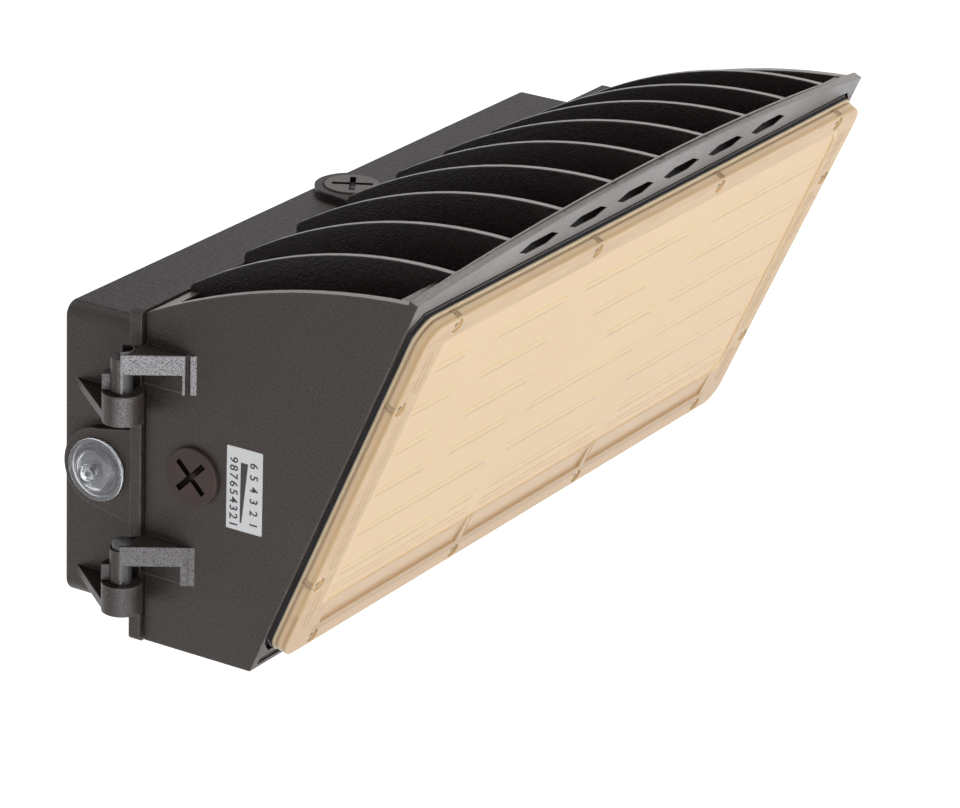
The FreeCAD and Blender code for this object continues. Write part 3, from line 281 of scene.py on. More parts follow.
def powder_coat(name, glint_share):
    """Dark bronze powder coat: fine grain, faint blotches, painted highlights on the hinge fronts, fin tops,
    lip and edges, and painted shade in hollows, slots, between the fins and on the box top.
    """
    s = Shader(name)
    place = s.axes(s.coords)
    up, out, side = slant_coordinates(s)
    fine = s.noise(1350.0, 1.0, 0.5)
    coarse = s.noise(480.0, 3.0, 0.6)
    blotch = s.noise(20.0, 4.0, 0.6)
    color = s.mix(s.span(blotch, 0.3, 0.7), rgb(55, 48, 44), rgb(64, 56, 52))
    color = s.mix(s.span(fine, 0.54, 0.70, 0.0, 0.45), color, rgb(98, 88, 84))
    color = s.mix(s.span(fine, 0.46, 0.32, 0.0, 0.6), color, rgb(34, 30, 28))

    # painted glint on the hinge fronts in fine speckles, lighter on the upper hinge than on the lower one
    glint_color = s.mix(s.span(place["Z"], 0.0, 0.01), rgb(128, 126, 130), rgb(186, 184, 189))
    color = s.mix(hinge_glint(s, place, glint_share), color, glint_color)
    # painted highlight on the upward faces of the fin tops, standing in for light from above
    ridge = s.times(s.span(place["Z"], RIDGES_ABOVE, RIDGES_ABOVE + 0.001),
                   s.span(place["Y"], RIDGES_BEYOND, RIDGES_BEYOND - 0.001), s.facing(UPWARD, 0.55, 0.75))
    color = s.mix(s.times(ridge, s.span(coarse, 0.25, 0.7, 0.6, 0.95)), color, rgb(166, 160, 156))
    # painted sheen on the lip's front face, standing in for its grazing reflection
    lip = s.times(s.facing(FRONT_FACE, 0.97, 0.995), s.span(place["Z"], *LIP_FOOT))
    color = s.mix(s.times(lip, s.span(blotch, 0.3, 0.7, 0.55, 0.9)), color, rgb(152, 151, 153))
    # painted highlight along sharp edges, where the rounding catches the light
    edge_highlight = s.times(s.edges(0.0011), s.span(s.noise(160.0, 3.0, 0.7), 0.35, 0.65, 0.35, 1.0))
    color = s.mix(s.times(edge_highlight, 0.7), color, rgb(150, 145, 142))

    # painted shade deep between the fins
    color = s.mix(s.times(fin_sides(s, place, side), 0.8), color, rgb(24, 19, 18))
    # painted shade inside the slots of the lip
    slot = slot_walls(s, up, out, side)
    color = s.mix(slot, color, rgb(12, 10, 10))
    # painted shade in slots, grooves and tight corners, from the occlusion mask
    hollow = s.math("MAXIMUM", s.hollow(0.009), slot)
    color = s.mix(s.times(hollow, 0.85), color, rgb(18, 15, 14))
    # painted shade: the upward faces of the box near the wall are darker
    box_top = s.times(s.facing(UPWARD, 0.9, 0.99), s.span(place["Y"], RIDGES_BEYOND, RIDGES_BEYOND + 0.001))
    color = s.mix(s.times(box_top, 0.6), color, rgb(36, 27, 24))

    gloss = s.times(s.span(hollow, 0.0, 1.0, 0.4, 0.05), s.span(box_top, 0.0, 1.0, 1.0, 0.16))
    grain = s.math("ADD", s.times(fine, 0.7), s.times(coarse, 0.3))
    s.principled(Base_Color=color, Roughness=s.span(coarse, 0.3, 0.7, 0.34, 0.46), Specular_IOR_Level=gloss,
                 Normal=s.bump(grain, 0.9, 0.00036, s.rounded(0.0009)))
    return s.material


def brushed_metal(name, color, rough, streak_axis=(1.0, 1.0, 12.0)):
    s = Shader(name)
    mapping = s.node("ShaderNodeMapping", {"Vector": s.coords, "Scale": streak_axis})
    streak = s.noise(300.0, 3.0, 0.6, mapping.outputs["Vector"])
    soil = s.noise(40.0, 4.0, 0.6)
    dark = tuple(c * 0.62 for c in color)
    tint = s.mix(s.span(streak, 0.35, 0.65), dark, color)
    tint = s.mix(s.span(soil, 0.5, 0.75, 0.0, 0.5), tint, tuple(c * 0.45 for c in color))
    s.principled(Base_Color=tint, Metallic=0.9, Roughness=s.span(streak, 0.3, 0.7, rough, rough + 0.16),
                 Normal=s.bump(streak, 0.25, 0.0001, s.rounded(0.0003)))
    return s.material


def plastic(name, color, rough, grain=900.0, depth=0.0001, spec=0.5, vary=0.14, rim=0.35):
    """Moulded plastic with a fine grain, a painted highlight along the edges and painted shade in the
    grooves.
    """
    s = Shader(name)
    fine = s.noise(grain, 2.0, 0.5)
    blotch = s.noise(60.0, 3.0, 0.6)
    dark = tuple(c * (1.0 - vary) for c in color)
    light = tuple(min(1.0, c * (1.0 + vary)) for c in color)
    tint = s.mix(s.span(blotch, 0.3, 0.7), dark, light)
    # painted highlight along the edges, where the rounding catches the light
    edge = s.edges(0.0005)
    tint = s.mix(s.times(edge, rim), tint, tuple(min(1.0, c * 1.8 + 0.05) for c in color))
    # painted shade deep in grooves and corners, from the occlusion mask
    hollow = s.hollow(0.006, 0.92, 0.7)
    tint = s.mix(s.times(hollow, 0.95), tint, tuple(c * 0.08 for c in color))
    normal = s.bump(fine, 0.3, depth, s.rounded(0.00035))
    s.principled(Base_Color=tint, Roughness=s.span(fine, 0.3, 0.7, rough - 0.06, rough + 0.08), Normal=normal,
                 Specular_IOR_Level=s.span(hollow, 0.0, 1.0, spec, 0.02))
    return s.material


def rubber():
    """Blue-black seal rubber with a dusty bloom."""
    s = Shader("seal_rubber")
    fine = s.noise(1300.0, 2.0, 0.6)
    dust = s.noise(90.0, 4.0, 0.65)
    color = s.mix(s.span(dust, 0.35, 0.7), rgb(20, 20, 24), rgb(36, 38, 46))
    s.principled(Base_Color=color, Roughness=s.span(dust, 0.3, 0.7, 0.42, 0.62),
                 Normal=s.bump(fine, 0.35, 0.00015, s.rounded(0.0003)))
    return s.material


WALL_TOP = (0.0064, 0.0058)
WALL_GROOVE = (0.0030, 0.0040)
FOOT_STRIPE = (0.0172, 0.0206)
STRIPE_REACH = 0.1580


def lens_tones(s, flow, streak):
    """Cream panel and walls, with a browner border and foot, painted shade on the foot stripe and in the wall
    groove, painted light on the walls and a painted highlight along the edges.
    """
    up, out, side = slant_coordinates(s)
    cream = s.mix(flow, rgb(224, 191, 149), rgb(233, 203, 162))
    tan = s.mix(s.span(streak, 0.35, 0.65), rgb(204, 173, 134), rgb(214, 184, 146))
    on_top = s.span(out, PANEL_FACE + 0.00025, LENS_FRONT - 0.0002)
    ends = s.span(side, PANEL_HALF + 0.0009, PANEL_HALF - 0.0005)
    panel = s.math("MINIMUM", ends, s.span(up, PANEL_LOW - 0.0005, PANEL_LOW + 0.0010))
    panel = s.math("MINIMUM", panel, s.span(up, PANEL_HIGH + 0.0010, PANEL_HIGH - 0.0007))
    color = s.mix(s.times(on_top, s.math("SUBTRACT", 1.0, panel)), cream, tan)
    below_panel = s.span(up, PANEL_LOW + 0.0001, PANEL_LOW - 0.0013)
    foot = s.times(below_panel, s.span(up, LENS_LOW + 0.0009, LENS_LOW + 0.0021))
    color = s.mix(s.times(foot, 0.85), color, rgb(205, 174, 139))
    # painted shade on the stripe along the foot of the lens
    stripe = s.times(s.between(up, *FOOT_STRIPE, 0.0007), s.span(side, STRIPE_REACH + 0.001, STRIPE_REACH))
    color = s.mix(s.times(stripe, 0.85), color, rgb(186, 156, 122))
    # painted light: the walls are made paler to make up for the shade they lie in
    color = s.mix(s.span(out, *WALL_TOP, 0.0, 0.8), color, rgb(243, 217, 182))
    # painted shade in the groove round the wall
    color = s.mix(s.times(s.between(out, *WALL_GROOVE, 0.0002), 0.6), color, rgb(188, 160, 126))
    # painted highlight along the edges of the lens
    return s.mix(s.times(s.edges(0.0007), 0.35), color, rgb(246, 226, 194))


def lens_plastic(name, line=None):
    """Milky warm polycarbonate, or the flat tone of the fine lines on it, the brightest of them a painted
    highlight.
    """
    s = Shader(name)
    flow = s.noise(14.0, 1.0, 0.5)
    fine = s.noise(900.0, 2.0, 0.5)
    stretched = s.node("ShaderNodeMapping", {"Vector": s.coords, "Scale": (0.15, 1.0, 1.0)})
    streak = s.noise(210.0, 3.0, 0.6, stretched.outputs["Vector"])
    if line:
        color = s.mix(s.span(streak, 0.35, 0.65), tuple(c * 0.86 for c in line), line)
    else:
        color = lens_tones(s, flow, streak)
    normal = s.bump(fine, 0.1, 0.00005, None if line else s.rounded(0.0005))
    s.principled(Base_Color=color, Roughness=s.span(flow, 0.0, 1.0, 0.28, 0.38), Normal=normal, IOR=1.5,
                 Specular_IOR_Level=0.25, Subsurface_Weight=0.0 if line else 0.5, Subsurface_Scale=0.005,
                 Subsurface_Radius=Vector((1.0, 0.85, 0.7)))
    return s.material


def clear_plastic():
    """Clear weathered cap of the photocell."""
    s = Shader("clear_cap")
    haze = s.noise(120.0, 3.0, 0.6)
    ring = s.noise(700.0, 2.0, 0.5)
    color = s.mix(s.span(haze, 0.3, 0.7), (0.84, 0.86, 0.90), (0.94, 0.95, 0.97))
    s.principled(Base_Color=color, Roughness=s.span(haze, 0.3, 0.7, 0.08, 0.14), IOR=1.49,
                 Transmission_Weight=0.94, Normal=s.bump(ring, 0.05, 0.00003))
    return s.material


def circuit(name, color):
    s = Shader(name)
    mask = s.noise(50.0, 3.0, 0.5)
    weave = s.cells(700.0)
    tint = s.mix(s.span(mask, 0.3, 0.7), tuple(c * 0.85 for c in color), color)
    s.principled(Base_Color=tint, Roughness=s.span(weave, 0.0, 0.6, 0.3, 0.45),
                 Normal=s.bump(weave, 0.15, 0.00005, s.rounded(0.0002)))
    return s.material


def phosphor():
    s = Shader("chip_yellow")
    dots = s.noise(2200.0, 2.0, 0.5)
    tint = s.mix(s.span(dots, 0.35, 0.65), rgb(214, 176, 60), rgb(246, 214, 96))
    s.principled(Base_Color=tint, Roughness=0.42, Normal=s.bump(dots, 0.2, 0.00005, s.rounded(0.0002)))
    return s.material


def label_film():
    s = Shader("label_white")
    fibre = s.noise(1600.0, 2.0, 0.5)
    soil = s.noise(120.0, 4.0, 0.6)
    tint = s.mix(s.span(soil, 0.45, 0.8, 0.0, 0.5), rgb(252, 253, 255), rgb(238, 239, 246))
    s.principled(Base_Color=tint, Roughness=s.span(fibre, 0.3, 0.7, 0.4, 0.5),
                 Normal=s.bump(fibre, 0.1, 0.00003))
    return s.material


MATERIALS = {
    "bronze_paint": powder_coat("powder_coat", 1.0),
    "hinge_steel": plastic("hinge_steel", rgb(70, 69, 73), 0.4, 1100.0, 0.00012, 0.7),
    "plated_steel": brushed_metal("plated_steel", rgb(205, 203, 198), 0.28),
    "seal_rubber": rubber(),
    "lens_plastic": lens_plastic("lens_plastic"),
    "clear_cap": clear_plastic(),
    "grey_plastic": plastic("grey_plastic", rgb(196, 198, 202), 0.42),
    "black_plastic": plastic("black_plastic", rgb(40, 39, 40), 0.44),
    "plug_plastic": plastic("plug_plastic", rgb(80, 67, 64), 0.46, 1100.0, 0.00015, 0.2, 0.1, 0.9),
    "circuit_white": circuit("circuit_white", rgb(232, 232, 226)),
    "circuit_green": circuit("circuit_green", rgb(40, 110, 62)),
    "chip_yellow": phosphor(),
    "driver_metal": brushed_metal("driver_metal", rgb(214, 216, 218), 0.36, (12.0, 1.0, 1.0)),
    "component_dark": plastic("component_dark", rgb(52, 54, 66), 0.32),
    "lead_sleeve": plastic("lead_sleeve", rgb(176, 52, 38), 0.4),
    "ground_green": brushed_metal("ground_green", rgb(70, 150, 84), 0.38),
    "label_white": label_film(),
}

# nodes whose finish differs from the rest of their kind
SINGLE_MATERIALS = {
    "back_box": powder_coat("box_powder_coat", 0.4),
    # the lens screws' steel is tinted tan, a painted reflection of the milky lens around them
    "lens_screws": brushed_metal("lens_screw_steel", rgb(226, 206, 178), 0.34),
    "photocell_base": plastic("cell_grey", rgb(104, 104, 109), 0.5),
}


def paint(obj, material):
    obj.data.materials.clear()
    obj.data.materials.append(material)


def paint_nodes():
    for entry in frame["record"]["subparts"]:
        name = entry["node"]
        paint(nodes[name], SINGLE_MATERIALS.get(name, MATERIALS[entry["material_slot"]]))


# ---- mesh helpers ------------------------------------------------------------
BLOCK_FACES = [(0, 1, 2, 3), (4, 5, 6, 7), (0, 1, 5, 4), (1, 2, 6, 5), (2, 3, 7, 6), (3, 0, 4, 7)]


def soft_corners(points, radius, steps=4):
    """Closed outline whose corners are rounded with short curves."""
    outline = []
    count = len(points)
    for index in range(count):
        before, corner, after = points[index - 1], points[index], points[(index + 1) % count]
        back = before - corner
        ahead = after - corner
        reach_back = min(radius, back.length * 0.45)
        reach_ahead = min(radius, ahead.length * 0.45)
        start = corner + back.normalized() * reach_back
        end = corner + ahead.normalized() * reach_ahead
        for step in range(steps + 1):
            t = step / steps
            outline.append(start * (1 - t) ** 2 + corner * 2 * t * (1 - t) + end * t ** 2)
    return outline


def chamfered_outline(half, low, high, cut):
    """Corners of a rectangle whose corners are cut off, as places along and up the slant."""
    return [Vector(p) for p in (
        (-half + cut, low), (half - cut, low), (half, low + cut), (half, high - cut),
        (half - cut, high), (-half + cut, high), (-half, high - cut), (-half, low + cut))]


def mesh_object(name, verts, faces, smooth=False):
    mesh = bpy.data.meshes.new(name)
    mesh.from_pydata([tuple(v) for v in verts], [], faces)
    work = bmesh.new()
    work.from_mesh(mesh)
    bmesh.ops.recalc_face_normals(work, faces=work.faces)
    work.to_mesh(mesh)
    work.free()
    for polygon in mesh.polygons:
        polygon.use_smooth = smooth
    made = bpy.data.objects.new(name, mesh)
    bpy.context.scene.collection.objects.link(made)
    return made


def stacked_rings(name, rings):
    """Closed solid through rings that all have the same number of points."""
    verts = [point for ring in rings for point in ring]
    size = len(rings[0])
    faces = []
    for index in range(len(rings) - 1):
        for step in range(size):
            after = (step + 1) % size
            faces.append((index * size + step, index * size + after,
                          (index + 1) * size + after, (index + 1) * size + step))
    faces.append(tuple(range(size)))
    faces.append(tuple((len(rings) - 1) * size + step for step in range(size)))
    return mesh_object(name, verts, faces)


def joined_pieces(name, shapes):
    """One object out of several lists of vertices and faces."""
    verts = []
    faces = []
    for shape_verts, shape_faces in shapes:
        start = len(verts)
        verts += shape_verts
        faces += [tuple(start + corner for corner in face) for face in shape_faces]
    return mesh_object(name, verts, faces)


def slab(outline, low, high):
    """Vertices and faces of a flat plate between two distances out of the slant."""
    size = len(outline)
    verts = [on_slant(p.x, p.y, out) for out in (low, high) for p in outline]
    faces = [tuple(range(size)), tuple(range(size, 2 * size))]
    for step in range(size):
        after = (step + 1) % size
        faces.append((step, after, size + after, size + step))
    return verts, faces


def bead(path, radius, closed=False):
    """Vertices and faces of a thin six sided bead that follows a path on the slanted front."""
    sides = 6
    verts = []
    faces = []
    count = len(path)
    normal = Vector((0, -CLIMB, -LEAN))
    for index, point in enumerate(path):
        if closed:
            along = path[(index + 1) % count] - path[index - 1]
        else:
            along = path[min(index + 1, count - 1)] - path[max(index - 1, 0)]
        across = along.normalized().cross(normal)
        for step in range(sides):
            angle = 2 * math.pi * step / sides
            verts.append(point + across * radius * math.cos(angle) + normal * radius * math.sin(angle))
    for index in range(count if closed else count - 1):
        here, ahead = index * sides, (index + 1) % count * sides
        for step in range(sides):
            after = (step + 1) % sides
            faces.append((here + step, here + after, ahead + after, ahead + step))
    if not closed:
        faces.append(tuple(range(sides)))
        faces.append(tuple((count - 1) * sides + step for step in range(sides)))
    return verts, faces


def dressed(piece, body, material):
    paint(piece, material)
    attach(piece, body)
    return piece


# ---- lens ----------------------------------------------------------------------
ROW_FIRST = 0.0478
ROW_PITCH = 0.0208
ROW_EDGE_ABOVE = (0.0016, 0.0019)
ROW_EDGE_BELOW = (-0.0018, -0.0015)
ROW_EDGE_LIFT = 0.00008
FOOT_LINES = (0.0405, 0.0378)
FOOT_LINE_HALF = 0.0002
FOOT_LINE_LIFT = 0.00006
FOOT_LINE_PARTS = ((-0.157, -0.056), (-0.046, 0.047), (0.056, 0.157))
TROUGH_HIGH = 0.0328
TROUGH_LOW = 0.0208
TROUGH_DEEP = 0.0013
TROUGH_STEP = 0.0006
TROUGH_PARTS = ((-0.1545, -0.0525), (-0.0475, 0.0475), (0.0525, 0.1545))
POST_HALF = 0.0005
POST_SHIFTS = (-0.0010, 0.0009)
POST_OUT = (0.0033, 0.0076)
POST_EDGES = (0.0004, 0.0014)   # how far a post's two sides stand in from the edge of the lens
LOOP_PLACE = 0.1672
LOOP_PARTS = ((0.026, 0.0415), (0.0565, 0.1305), (0.1465, 0.163))
LOOP_TURN = 0.0017
LOOP_BEAD = 0.00018
RIB_PLACES = (-0.052, -0.048, 0.048, 0.052)
RIB_HIGH = 0.0335
RIB_LOW = 0.0205
RIB_BEAD = 0.00022
ROW_PARTS = (
    ((-0.157, -0.088), (-0.077, -0.054), (-0.046, 0.044), (0.060, 0.158)),
    ((-0.157, -0.059), (-0.046, 0.030), (0.052, 0.158)),
    ((-0.159, -0.119), (-0.104, -0.058), (-0.045, 0.046), (0.062, 0.157)),
    ((-0.158, -0.131), (-0.108, -0.056), (0.004, 0.045), (0.057, 0.157)),
    ((-0.160, -0.128), (-0.110, -0.056), (-0.022, 0.025), (0.056, 0.157)),
    ((-0.157, -0.131), (-0.112, -0.058), (-0.044, 0.045), (0.060, 0.157)),
)
LENS_CORNER = 0.004
CUT_SHRINK = 0.5858     # 2 - sqrt(2): an inset ring keeps its cut corners parallel
PANEL_CUT = 0.0045
PANEL_CORNER = 0.006
HOLLOW_INSET = 0.004
HOLLOW_DEEP = 0.0052
POCKET_STEPS = 20
POCKET_TOP = 0.010
STRIP_SUNK = 0.0002
DULL_SHORTER = 0.002
# how far each ring of the wall stands in, and how far out of the slant it lies
WALL_RINGS = ((0.0, 0.0018), (0.0, 0.0027), (0.0003, 0.0029), (0.0012, 0.0030), (0.0012, 0.0039),
              (0.0006, 0.0041), (0.0010, 0.0075), (0.0011, 0.0078), (0.0014, 0.0080))


def lens_ring(inset, out):
    outline = chamfered_outline(LENS_HALF - inset, LENS_LOW + inset, LENS_HIGH - inset,
                                LENS_CUT - CUT_SHRINK * inset)
    return [on_slant(p.x, p.y, out) for p in soft_corners(outline, LENS_CORNER)]


def panel_ring(grow, out):
    outline = chamfered_outline(PANEL_HALF + grow, PANEL_LOW - grow, PANEL_HIGH + grow, PANEL_CUT)
    return [on_slant(p.x, p.y, out) for p in soft_corners(outline, PANEL_CORNER)]


def lens_shell():
    """Pan with a grooved wall, a border, a sunken panel and a hollow behind it."""
    rings = [panel_ring(-HOLLOW_INSET, out) for out in (HOLLOW_DEEP, LENS_BACK)]
    rings += [lens_ring(inset, out) for inset, out in WALL_RINGS]
    rings += [panel_ring(0.0008, LENS_FRONT), panel_ring(0.0004, 0.0079), panel_ring(0.0, PANEL_FACE)]
    return stacked_rings("lens_pan", rings)


def screw_places():
    """Middle of each screw of the lens."""
    places = [(x, up) for x in SCREWS_ALONG for up in (LENS_LOW + SCREW_INSET, LENS_HIGH - SCREW_INSET)]
    side = LENS_HALF - SCREW_INSET
    return places + [(x, up) for x in (-side, side) for up in SCREWS_UP]


def lens_cutters():
    """Round pockets of the screws and the sloping troughs along the lower border."""
    shapes = []
    for x, up in screw_places():
        turns = [2 * math.pi * step / POCKET_STEPS for step in range(POCKET_STEPS)]
        outline = [Vector((x + SCREW_POCKET * math.cos(a), up + SCREW_POCKET * math.sin(a))) for a in turns]
        shapes.append(slab(outline, SCREW_SEAT, POCKET_TOP))
    above = LENS_FRONT + 0.0010
    for part in TROUGH_PARTS:
        verts = []
        for x in part:
            verts += [on_slant(x, TROUGH_HIGH, LENS_FRONT - 0.0001),
                      on_slant(x, TROUGH_LOW, LENS_FRONT - TROUGH_DEEP),
                      on_slant(x, TROUGH_LOW - TROUGH_STEP, above), on_slant(x, TROUGH_HIGH, above)]
        shapes.append((verts, BLOCK_FACES))
    return joined_pieces("lens_cutters", shapes)


def cut_away(piece, cutter):
    """Takes one closed mesh out of another for good."""
    change = piece.modifiers.new("cut", "BOOLEAN")
    change.operation = "DIFFERENCE"
    change.solver = "EXACT"
    change.use_self = True
    change.object = cutter
    graph = bpy.context.evaluated_depsgraph_get()
    result = bpy.data.meshes.new_from_object(piece.evaluated_get(graph))
    piece.modifiers.clear()
    piece.data = result
    bpy.data.objects.remove(cutter)


def rectangle(left, right, low, high):
    return [Vector(p) for p in ((left, low), (right, low), (right, high), (left, high))]


def strip(left, right, low, high, lift):
    """Thin flat bar along the panel, sunk a little into it."""
    return slab(rectangle(left, right, low, high), PANEL_FACE - STRIP_SUNK, PANEL_FACE + lift)


def lens_rows():
    """Lines along the rows of diodes: a bright one above each row, painted as the highlight on the bar's
    upper edge, and a dull one below it.
    """
    bright, dull = [], []
    for row, parts in enumerate(ROW_PARTS):
        above = [ROW_FIRST + ROW_PITCH * row + edge for edge in ROW_EDGE_ABOVE]
        below = [ROW_FIRST + ROW_PITCH * row + edge for edge in ROW_EDGE_BELOW]
        for left, right in parts:
            bright.append(strip(left, right, *above, ROW_EDGE_LIFT))
            dull.append(strip(left + DULL_SHORTER, right - DULL_SHORTER, *below, ROW_EDGE_LIFT))
    for up in FOOT_LINES:
        for left, right in FOOT_LINE_PARTS:
            dull.append(strip(left, right, up - FOOT_LINE_HALF, up + FOOT_LINE_HALF, FOOT_LINE_LIFT))
    return joined_pieces("lens_row_upper_edges", bright), joined_pieces("lens_row_lower_edges", dull)


def racetrack(x, low, high):
    """Long loop up the slant, round at both ends."""
    points = []
    for centre, start in ((high, 0.0), (low, math.pi)):
        for step in range(7):
            angle = start + math.pi * step / 6
            points.append(on_slant(x + LOOP_TURN * math.cos(angle), centre + LOOP_TURN * math.sin(angle),
                                   LENS_FRONT))
    return points


def lens_border_lines():
    """Thin moulded lines: long loops at both ends and the ribs between the lower troughs."""
    shapes = []
    for side in (-1, 1):
        for low, high in LOOP_PARTS:
            shapes.append(bead(racetrack(side * LOOP_PLACE, low, high), LOOP_BEAD, closed=True))
    for x in RIB_PLACES:
        shapes.append(bead([on_slant(x, up, LENS_FRONT) for up in (RIB_HIGH, RIB_LOW)], RIB_BEAD))
    return joined_pieces("lens_border_lines", shapes)


def lens_posts():
    """Screw posts, which show as short double ribs on the walls of the lens."""
    outlines = []
    near, far = POST_EDGES
    for shift in POST_SHIFTS:
        for x in SCREWS_ALONG:
            left, right = x + shift - POST_HALF, x + shift + POST_HALF
            outlines.append(rectangle(left, right, LENS_LOW + near, LENS_LOW + far))
            outlines.append(rectangle(left, right, LENS_HIGH - far, LENS_HIGH - near))
        for up in SCREWS_UP:
            for side in (-1, 1):
                outlines.append(rectangle(side * (LENS_HALF - far), side * (LENS_HALF - near),
                                          up + shift - POST_HALF, up + shift + POST_HALF))
    return joined_pieces("lens_posts", [slab(outline, *POST_OUT) for outline in outlines])


def make_lens():
    pan = lens_shell()
    cut_away(pan, lens_cutters())
    dressed(pan, "door", MATERIALS["lens_plastic"])
    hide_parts("lens")
    bright, dull = lens_rows()
    # bright strips: painted highlight along the upper edge of each row
    dressed(bright, "door", lens_plastic("lens_bright_edge", rgb(255, 232, 152)))
    dressed(dull, "door", lens_plastic("lens_dull_edge", rgb(228, 199, 162)))
    dressed(lens_border_lines(), "door", lens_plastic("lens_line", rgb(220, 191, 153)))
    dressed(lens_posts(), "door", lens_plastic("lens_post", rgb(214, 184, 148)))


# ---- photocell cap ---------------------------------------------------------------
CELL_Y = -0.0204
CELL_Z = -0.0022
CELL_FACE = -0.180
CAP_STEPS = 64
# radius and distance from the pad, in millimetres: nose, dome, rim and inside
CAP_PROFILE = (
    (0.0, 4.0), (2.9, 4.1), (2.9, 8.1), (2.2, 8.4), (0.0, 8.2), (0.0, 9.3), (1.8, 9.35), (2.3, 9.7),
    (3.1, 9.75), (3.6, 9.5), (3.85, 9.0), (3.9, 5.3), (4.6, 4.9), (5.4, 5.0), (6.9, 5.15), (7.9, 4.9),
    (8.5, 4.2), (8.8, 3.0), (9.3, 2.1), (10.4, 1.9), (11.3, 2.3), (11.9, 2.85), (12.5, 2.9), (13.0, 2.6),
    (13.2, 2.1), (13.2, 0.85), (12.0, 0.85), (11.2, 1.1), (9.4, 1.05), (8.1, 1.5), (7.7, 3.6), (6.8, 4.1),
    (5.0, 4.0), (3.6, 4.0),
)


def make_photocell_cap():
    """Clear stepped dome with a rolled rim and a dimpled nose."""
    verts = []
    faces = []
    size = len(CAP_PROFILE)
    for step in range(CAP_STEPS):
        angle = 2 * math.pi * step / CAP_STEPS
        for radius, out in CAP_PROFILE:
            r = max(radius, 0.02) / 1000.0
            y, z = CELL_Y + r * math.cos(angle), CELL_Z + r * math.sin(angle)
            verts.append((CELL_FACE - out / 1000.0, y, z))
    for step in range(CAP_STEPS):
        here, after = step * size, (step + 1) % CAP_STEPS * size
        for index in range(size):
            ahead = (index + 1) % size
            faces.append((here + index, after + index, after + ahead, here + ahead))
    cap = mesh_object("photocell_cap_clear", verts, faces, smooth=True)
    dressed(cap, "wall_box", MATERIALS["clear_cap"])
    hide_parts("photocell_cap")


# ---- print on the setting label ----------------------------------------------------
LABEL_FACE = -0.1802
LABEL_Y = -0.091
LABEL_Z = 0.0059
PRINT_BAR = ((-0.0018, -0.0115), (0.0016, -0.0115), (-0.0012, 0.0140), (-0.0020, 0.0140))
PRINT_BAR_OUT = (0.00001, 0.00005)
PRINT_SIZE = 0.0052
PRINT_OUT = 0.00003
# numbers, their place to the right, the first one's place down and the step between them
PRINT_COLUMNS = (("987654321", -0.0068, -0.0132, 0.0034), ("654321", 0.0027, -0.0126, 0.0050))


def on_label(right, down, lift):
    """Place on the label: to the right of its middle and down from it, seen from outside."""
    return Vector((LABEL_FACE - lift, LABEL_Y - right, LABEL_Z - down))


def make_label_print():
    """Plain scale: a tapering bar between two rows of numbers that read downwards."""
    shapes = []
    verts = [on_label(right, down, lift) for lift in PRINT_BAR_OUT for right, down in PRINT_BAR]
    shapes.append((verts, BLOCK_FACES))
    texts = []
    for numbers, right, first, pitch in PRINT_COLUMNS:
        for index, number in enumerate(numbers):
            curve = bpy.data.curves.new("number", "FONT")
            curve.body = number
            curve.size = PRINT_SIZE
            curve.offset = 0.00008
            curve.extrude = 0.00002
            holder = bpy.data.objects.new("number", curve)
            bpy.context.scene.collection.objects.link(holder)
            texts.append((holder, right, first + index * pitch))
    bpy.context.view_layer.update()
    graph = bpy.context.evaluated_depsgraph_get()
    for holder, right, down in texts:
        mesh = bpy.data.meshes.new_from_object(holder.evaluated_get(graph))
        verts = [on_label(right + v.co.y, down + v.co.x, PRINT_OUT + v.co.z) for v in mesh.vertices]
        shapes.append((verts, [tuple(p.vertices) for p in mesh.polygons]))
        bpy.data.objects.remove(holder)
    marks = joined_pieces("label_marks", shapes)
    dressed(marks, "door", plastic("label_ink", rgb(58, 58, 62), 0.5, 1500.0, 0.00002))


# ---- stage and light ---------------------------------------------------------
WORLD_SOFT = 0.22
FLOOR_HALF = 4.0
FLOOR_Z = -0.30
FLOOR_SEEN = 0.80
# name, place, target, size and power
LIGHTS = (
    ("front_soft", (0.45, -2.0, 0.30), (0.0, -0.1, 0.0), (1.8, 1.3), 25.0),
    ("left_soft", (-2.2, -0.9, 0.9), (-0.1, -0.1, 0.0), (1.2, 1.2), 7.0),
    ("top_right", (1.25, 0.45, 0.95), (0.0, -0.1, 0.08), (1.0, 0.4), 5.0),
    ("low_left", (-0.76, -0.48, -0.27), (-0.19, -0.06, 0.0), (0.25, 0.25), 1.8),
)


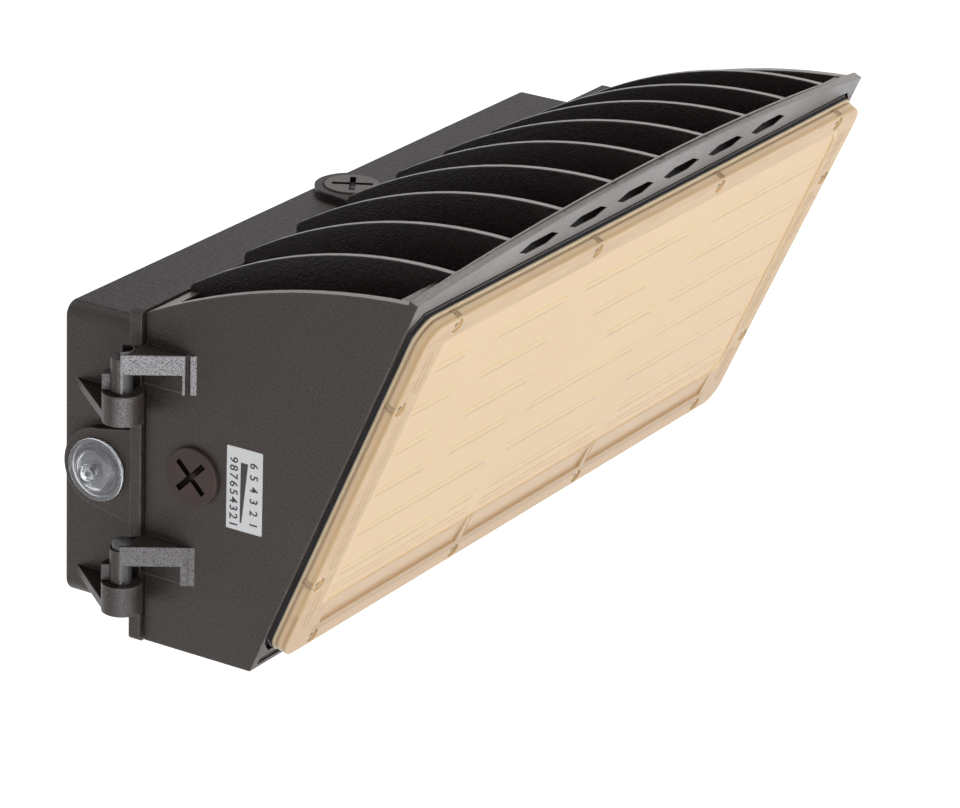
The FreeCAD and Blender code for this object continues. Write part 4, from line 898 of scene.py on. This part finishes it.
def stage_plane(name, corners, color, seen):
    """White floor that shows bright to the camera and in reflections and still takes the shadow."""
    mesh = bpy.data.meshes.new(name)
    mesh.from_pydata(corners, [], [tuple(range(len(corners)))])
    plane = bpy.data.objects.new(name, mesh)
    bpy.context.scene.collection.objects.link(plane)
    s = Shader(name)
    grain = s.noise(3.0, 2.0, 0.5)
    tint = s.mix(grain, tuple(c * 0.995 for c in color), color)
    path = s.node("ShaderNodeLightPath").outputs
    direct = s.math("MAXIMUM", path["Is Camera Ray"], s.math("MAXIMUM", path["Is Glossy Ray"],
                                                            path["Is Transmission Ray"]))
    s.principled(Base_Color=tint, Roughness=0.9, Specular_IOR_Level=0.0,
                 Emission_Color=(1.0, 1.0, 1.0), Emission_Strength=s.times(direct, seen))
    mesh.materials.append(s.material)


def area_light(name, place, target, size, power):
    data = bpy.data.lights.new(name, "AREA")
    data.shape = "RECTANGLE"
    data.size = size[0]
    data.size_y = size[1]
    data.energy = power
    light = bpy.data.objects.new(name, data)
    light.location = place
    aim = Vector(target) - Vector(place)
    light.rotation_euler = aim.to_track_quat("-Z", "Y").to_euler()
    light.visible_camera = False
    bpy.context.scene.collection.objects.link(light)


def make_world():
    """Soft grey light that the camera and reflections see as white."""
    world = bpy.data.worlds.new("studio")
    bpy.context.scene.world = world
    world.use_nodes = True
    tree = world.node_tree
    tree.nodes.clear()
    path = tree.nodes.new("ShaderNodeLightPath").outputs
    seen = path["Is Camera Ray"]
    for ray in ("Is Transmission Ray", "Is Glossy Ray"):
        larger = tree.nodes.new("ShaderNodeMath")
        larger.operation = "MAXIMUM"
        tree.links.new(seen, larger.inputs[0])
        tree.links.new(path[ray], larger.inputs[1])
        seen = larger.outputs["Value"]
    mix = tree.nodes.new("ShaderNodeMixShader")
    tree.links.new(seen, mix.inputs["Fac"])
    for socket, strength in ((1, WORLD_SOFT), (2, 1.0)):
        glow = tree.nodes.new("ShaderNodeBackground")
        glow.inputs["Color"].default_value = (1.0, 1.0, 1.0, 1.0)
        glow.inputs["Strength"].default_value = strength
        tree.links.new(glow.outputs["Background"], mix.inputs[socket])
    output = tree.nodes.new("ShaderNodeOutputWorld")
    tree.links.new(mix.outputs["Shader"], output.inputs["Surface"])


def make_stage():
    corners = [(x * FLOOR_HALF, y * FLOOR_HALF, FLOOR_Z) for x, y in ((-1, -1), (1, -1), (1, 1), (-1, 1))]
    stage_plane("floor", corners, (0.93, 0.93, 0.93), FLOOR_SEEN)
    make_world()
    for light in LIGHTS:
        area_light(*light)


paint_nodes()
make_lens()
make_photocell_cap()
make_label_print()
make_camera()
make_stage()
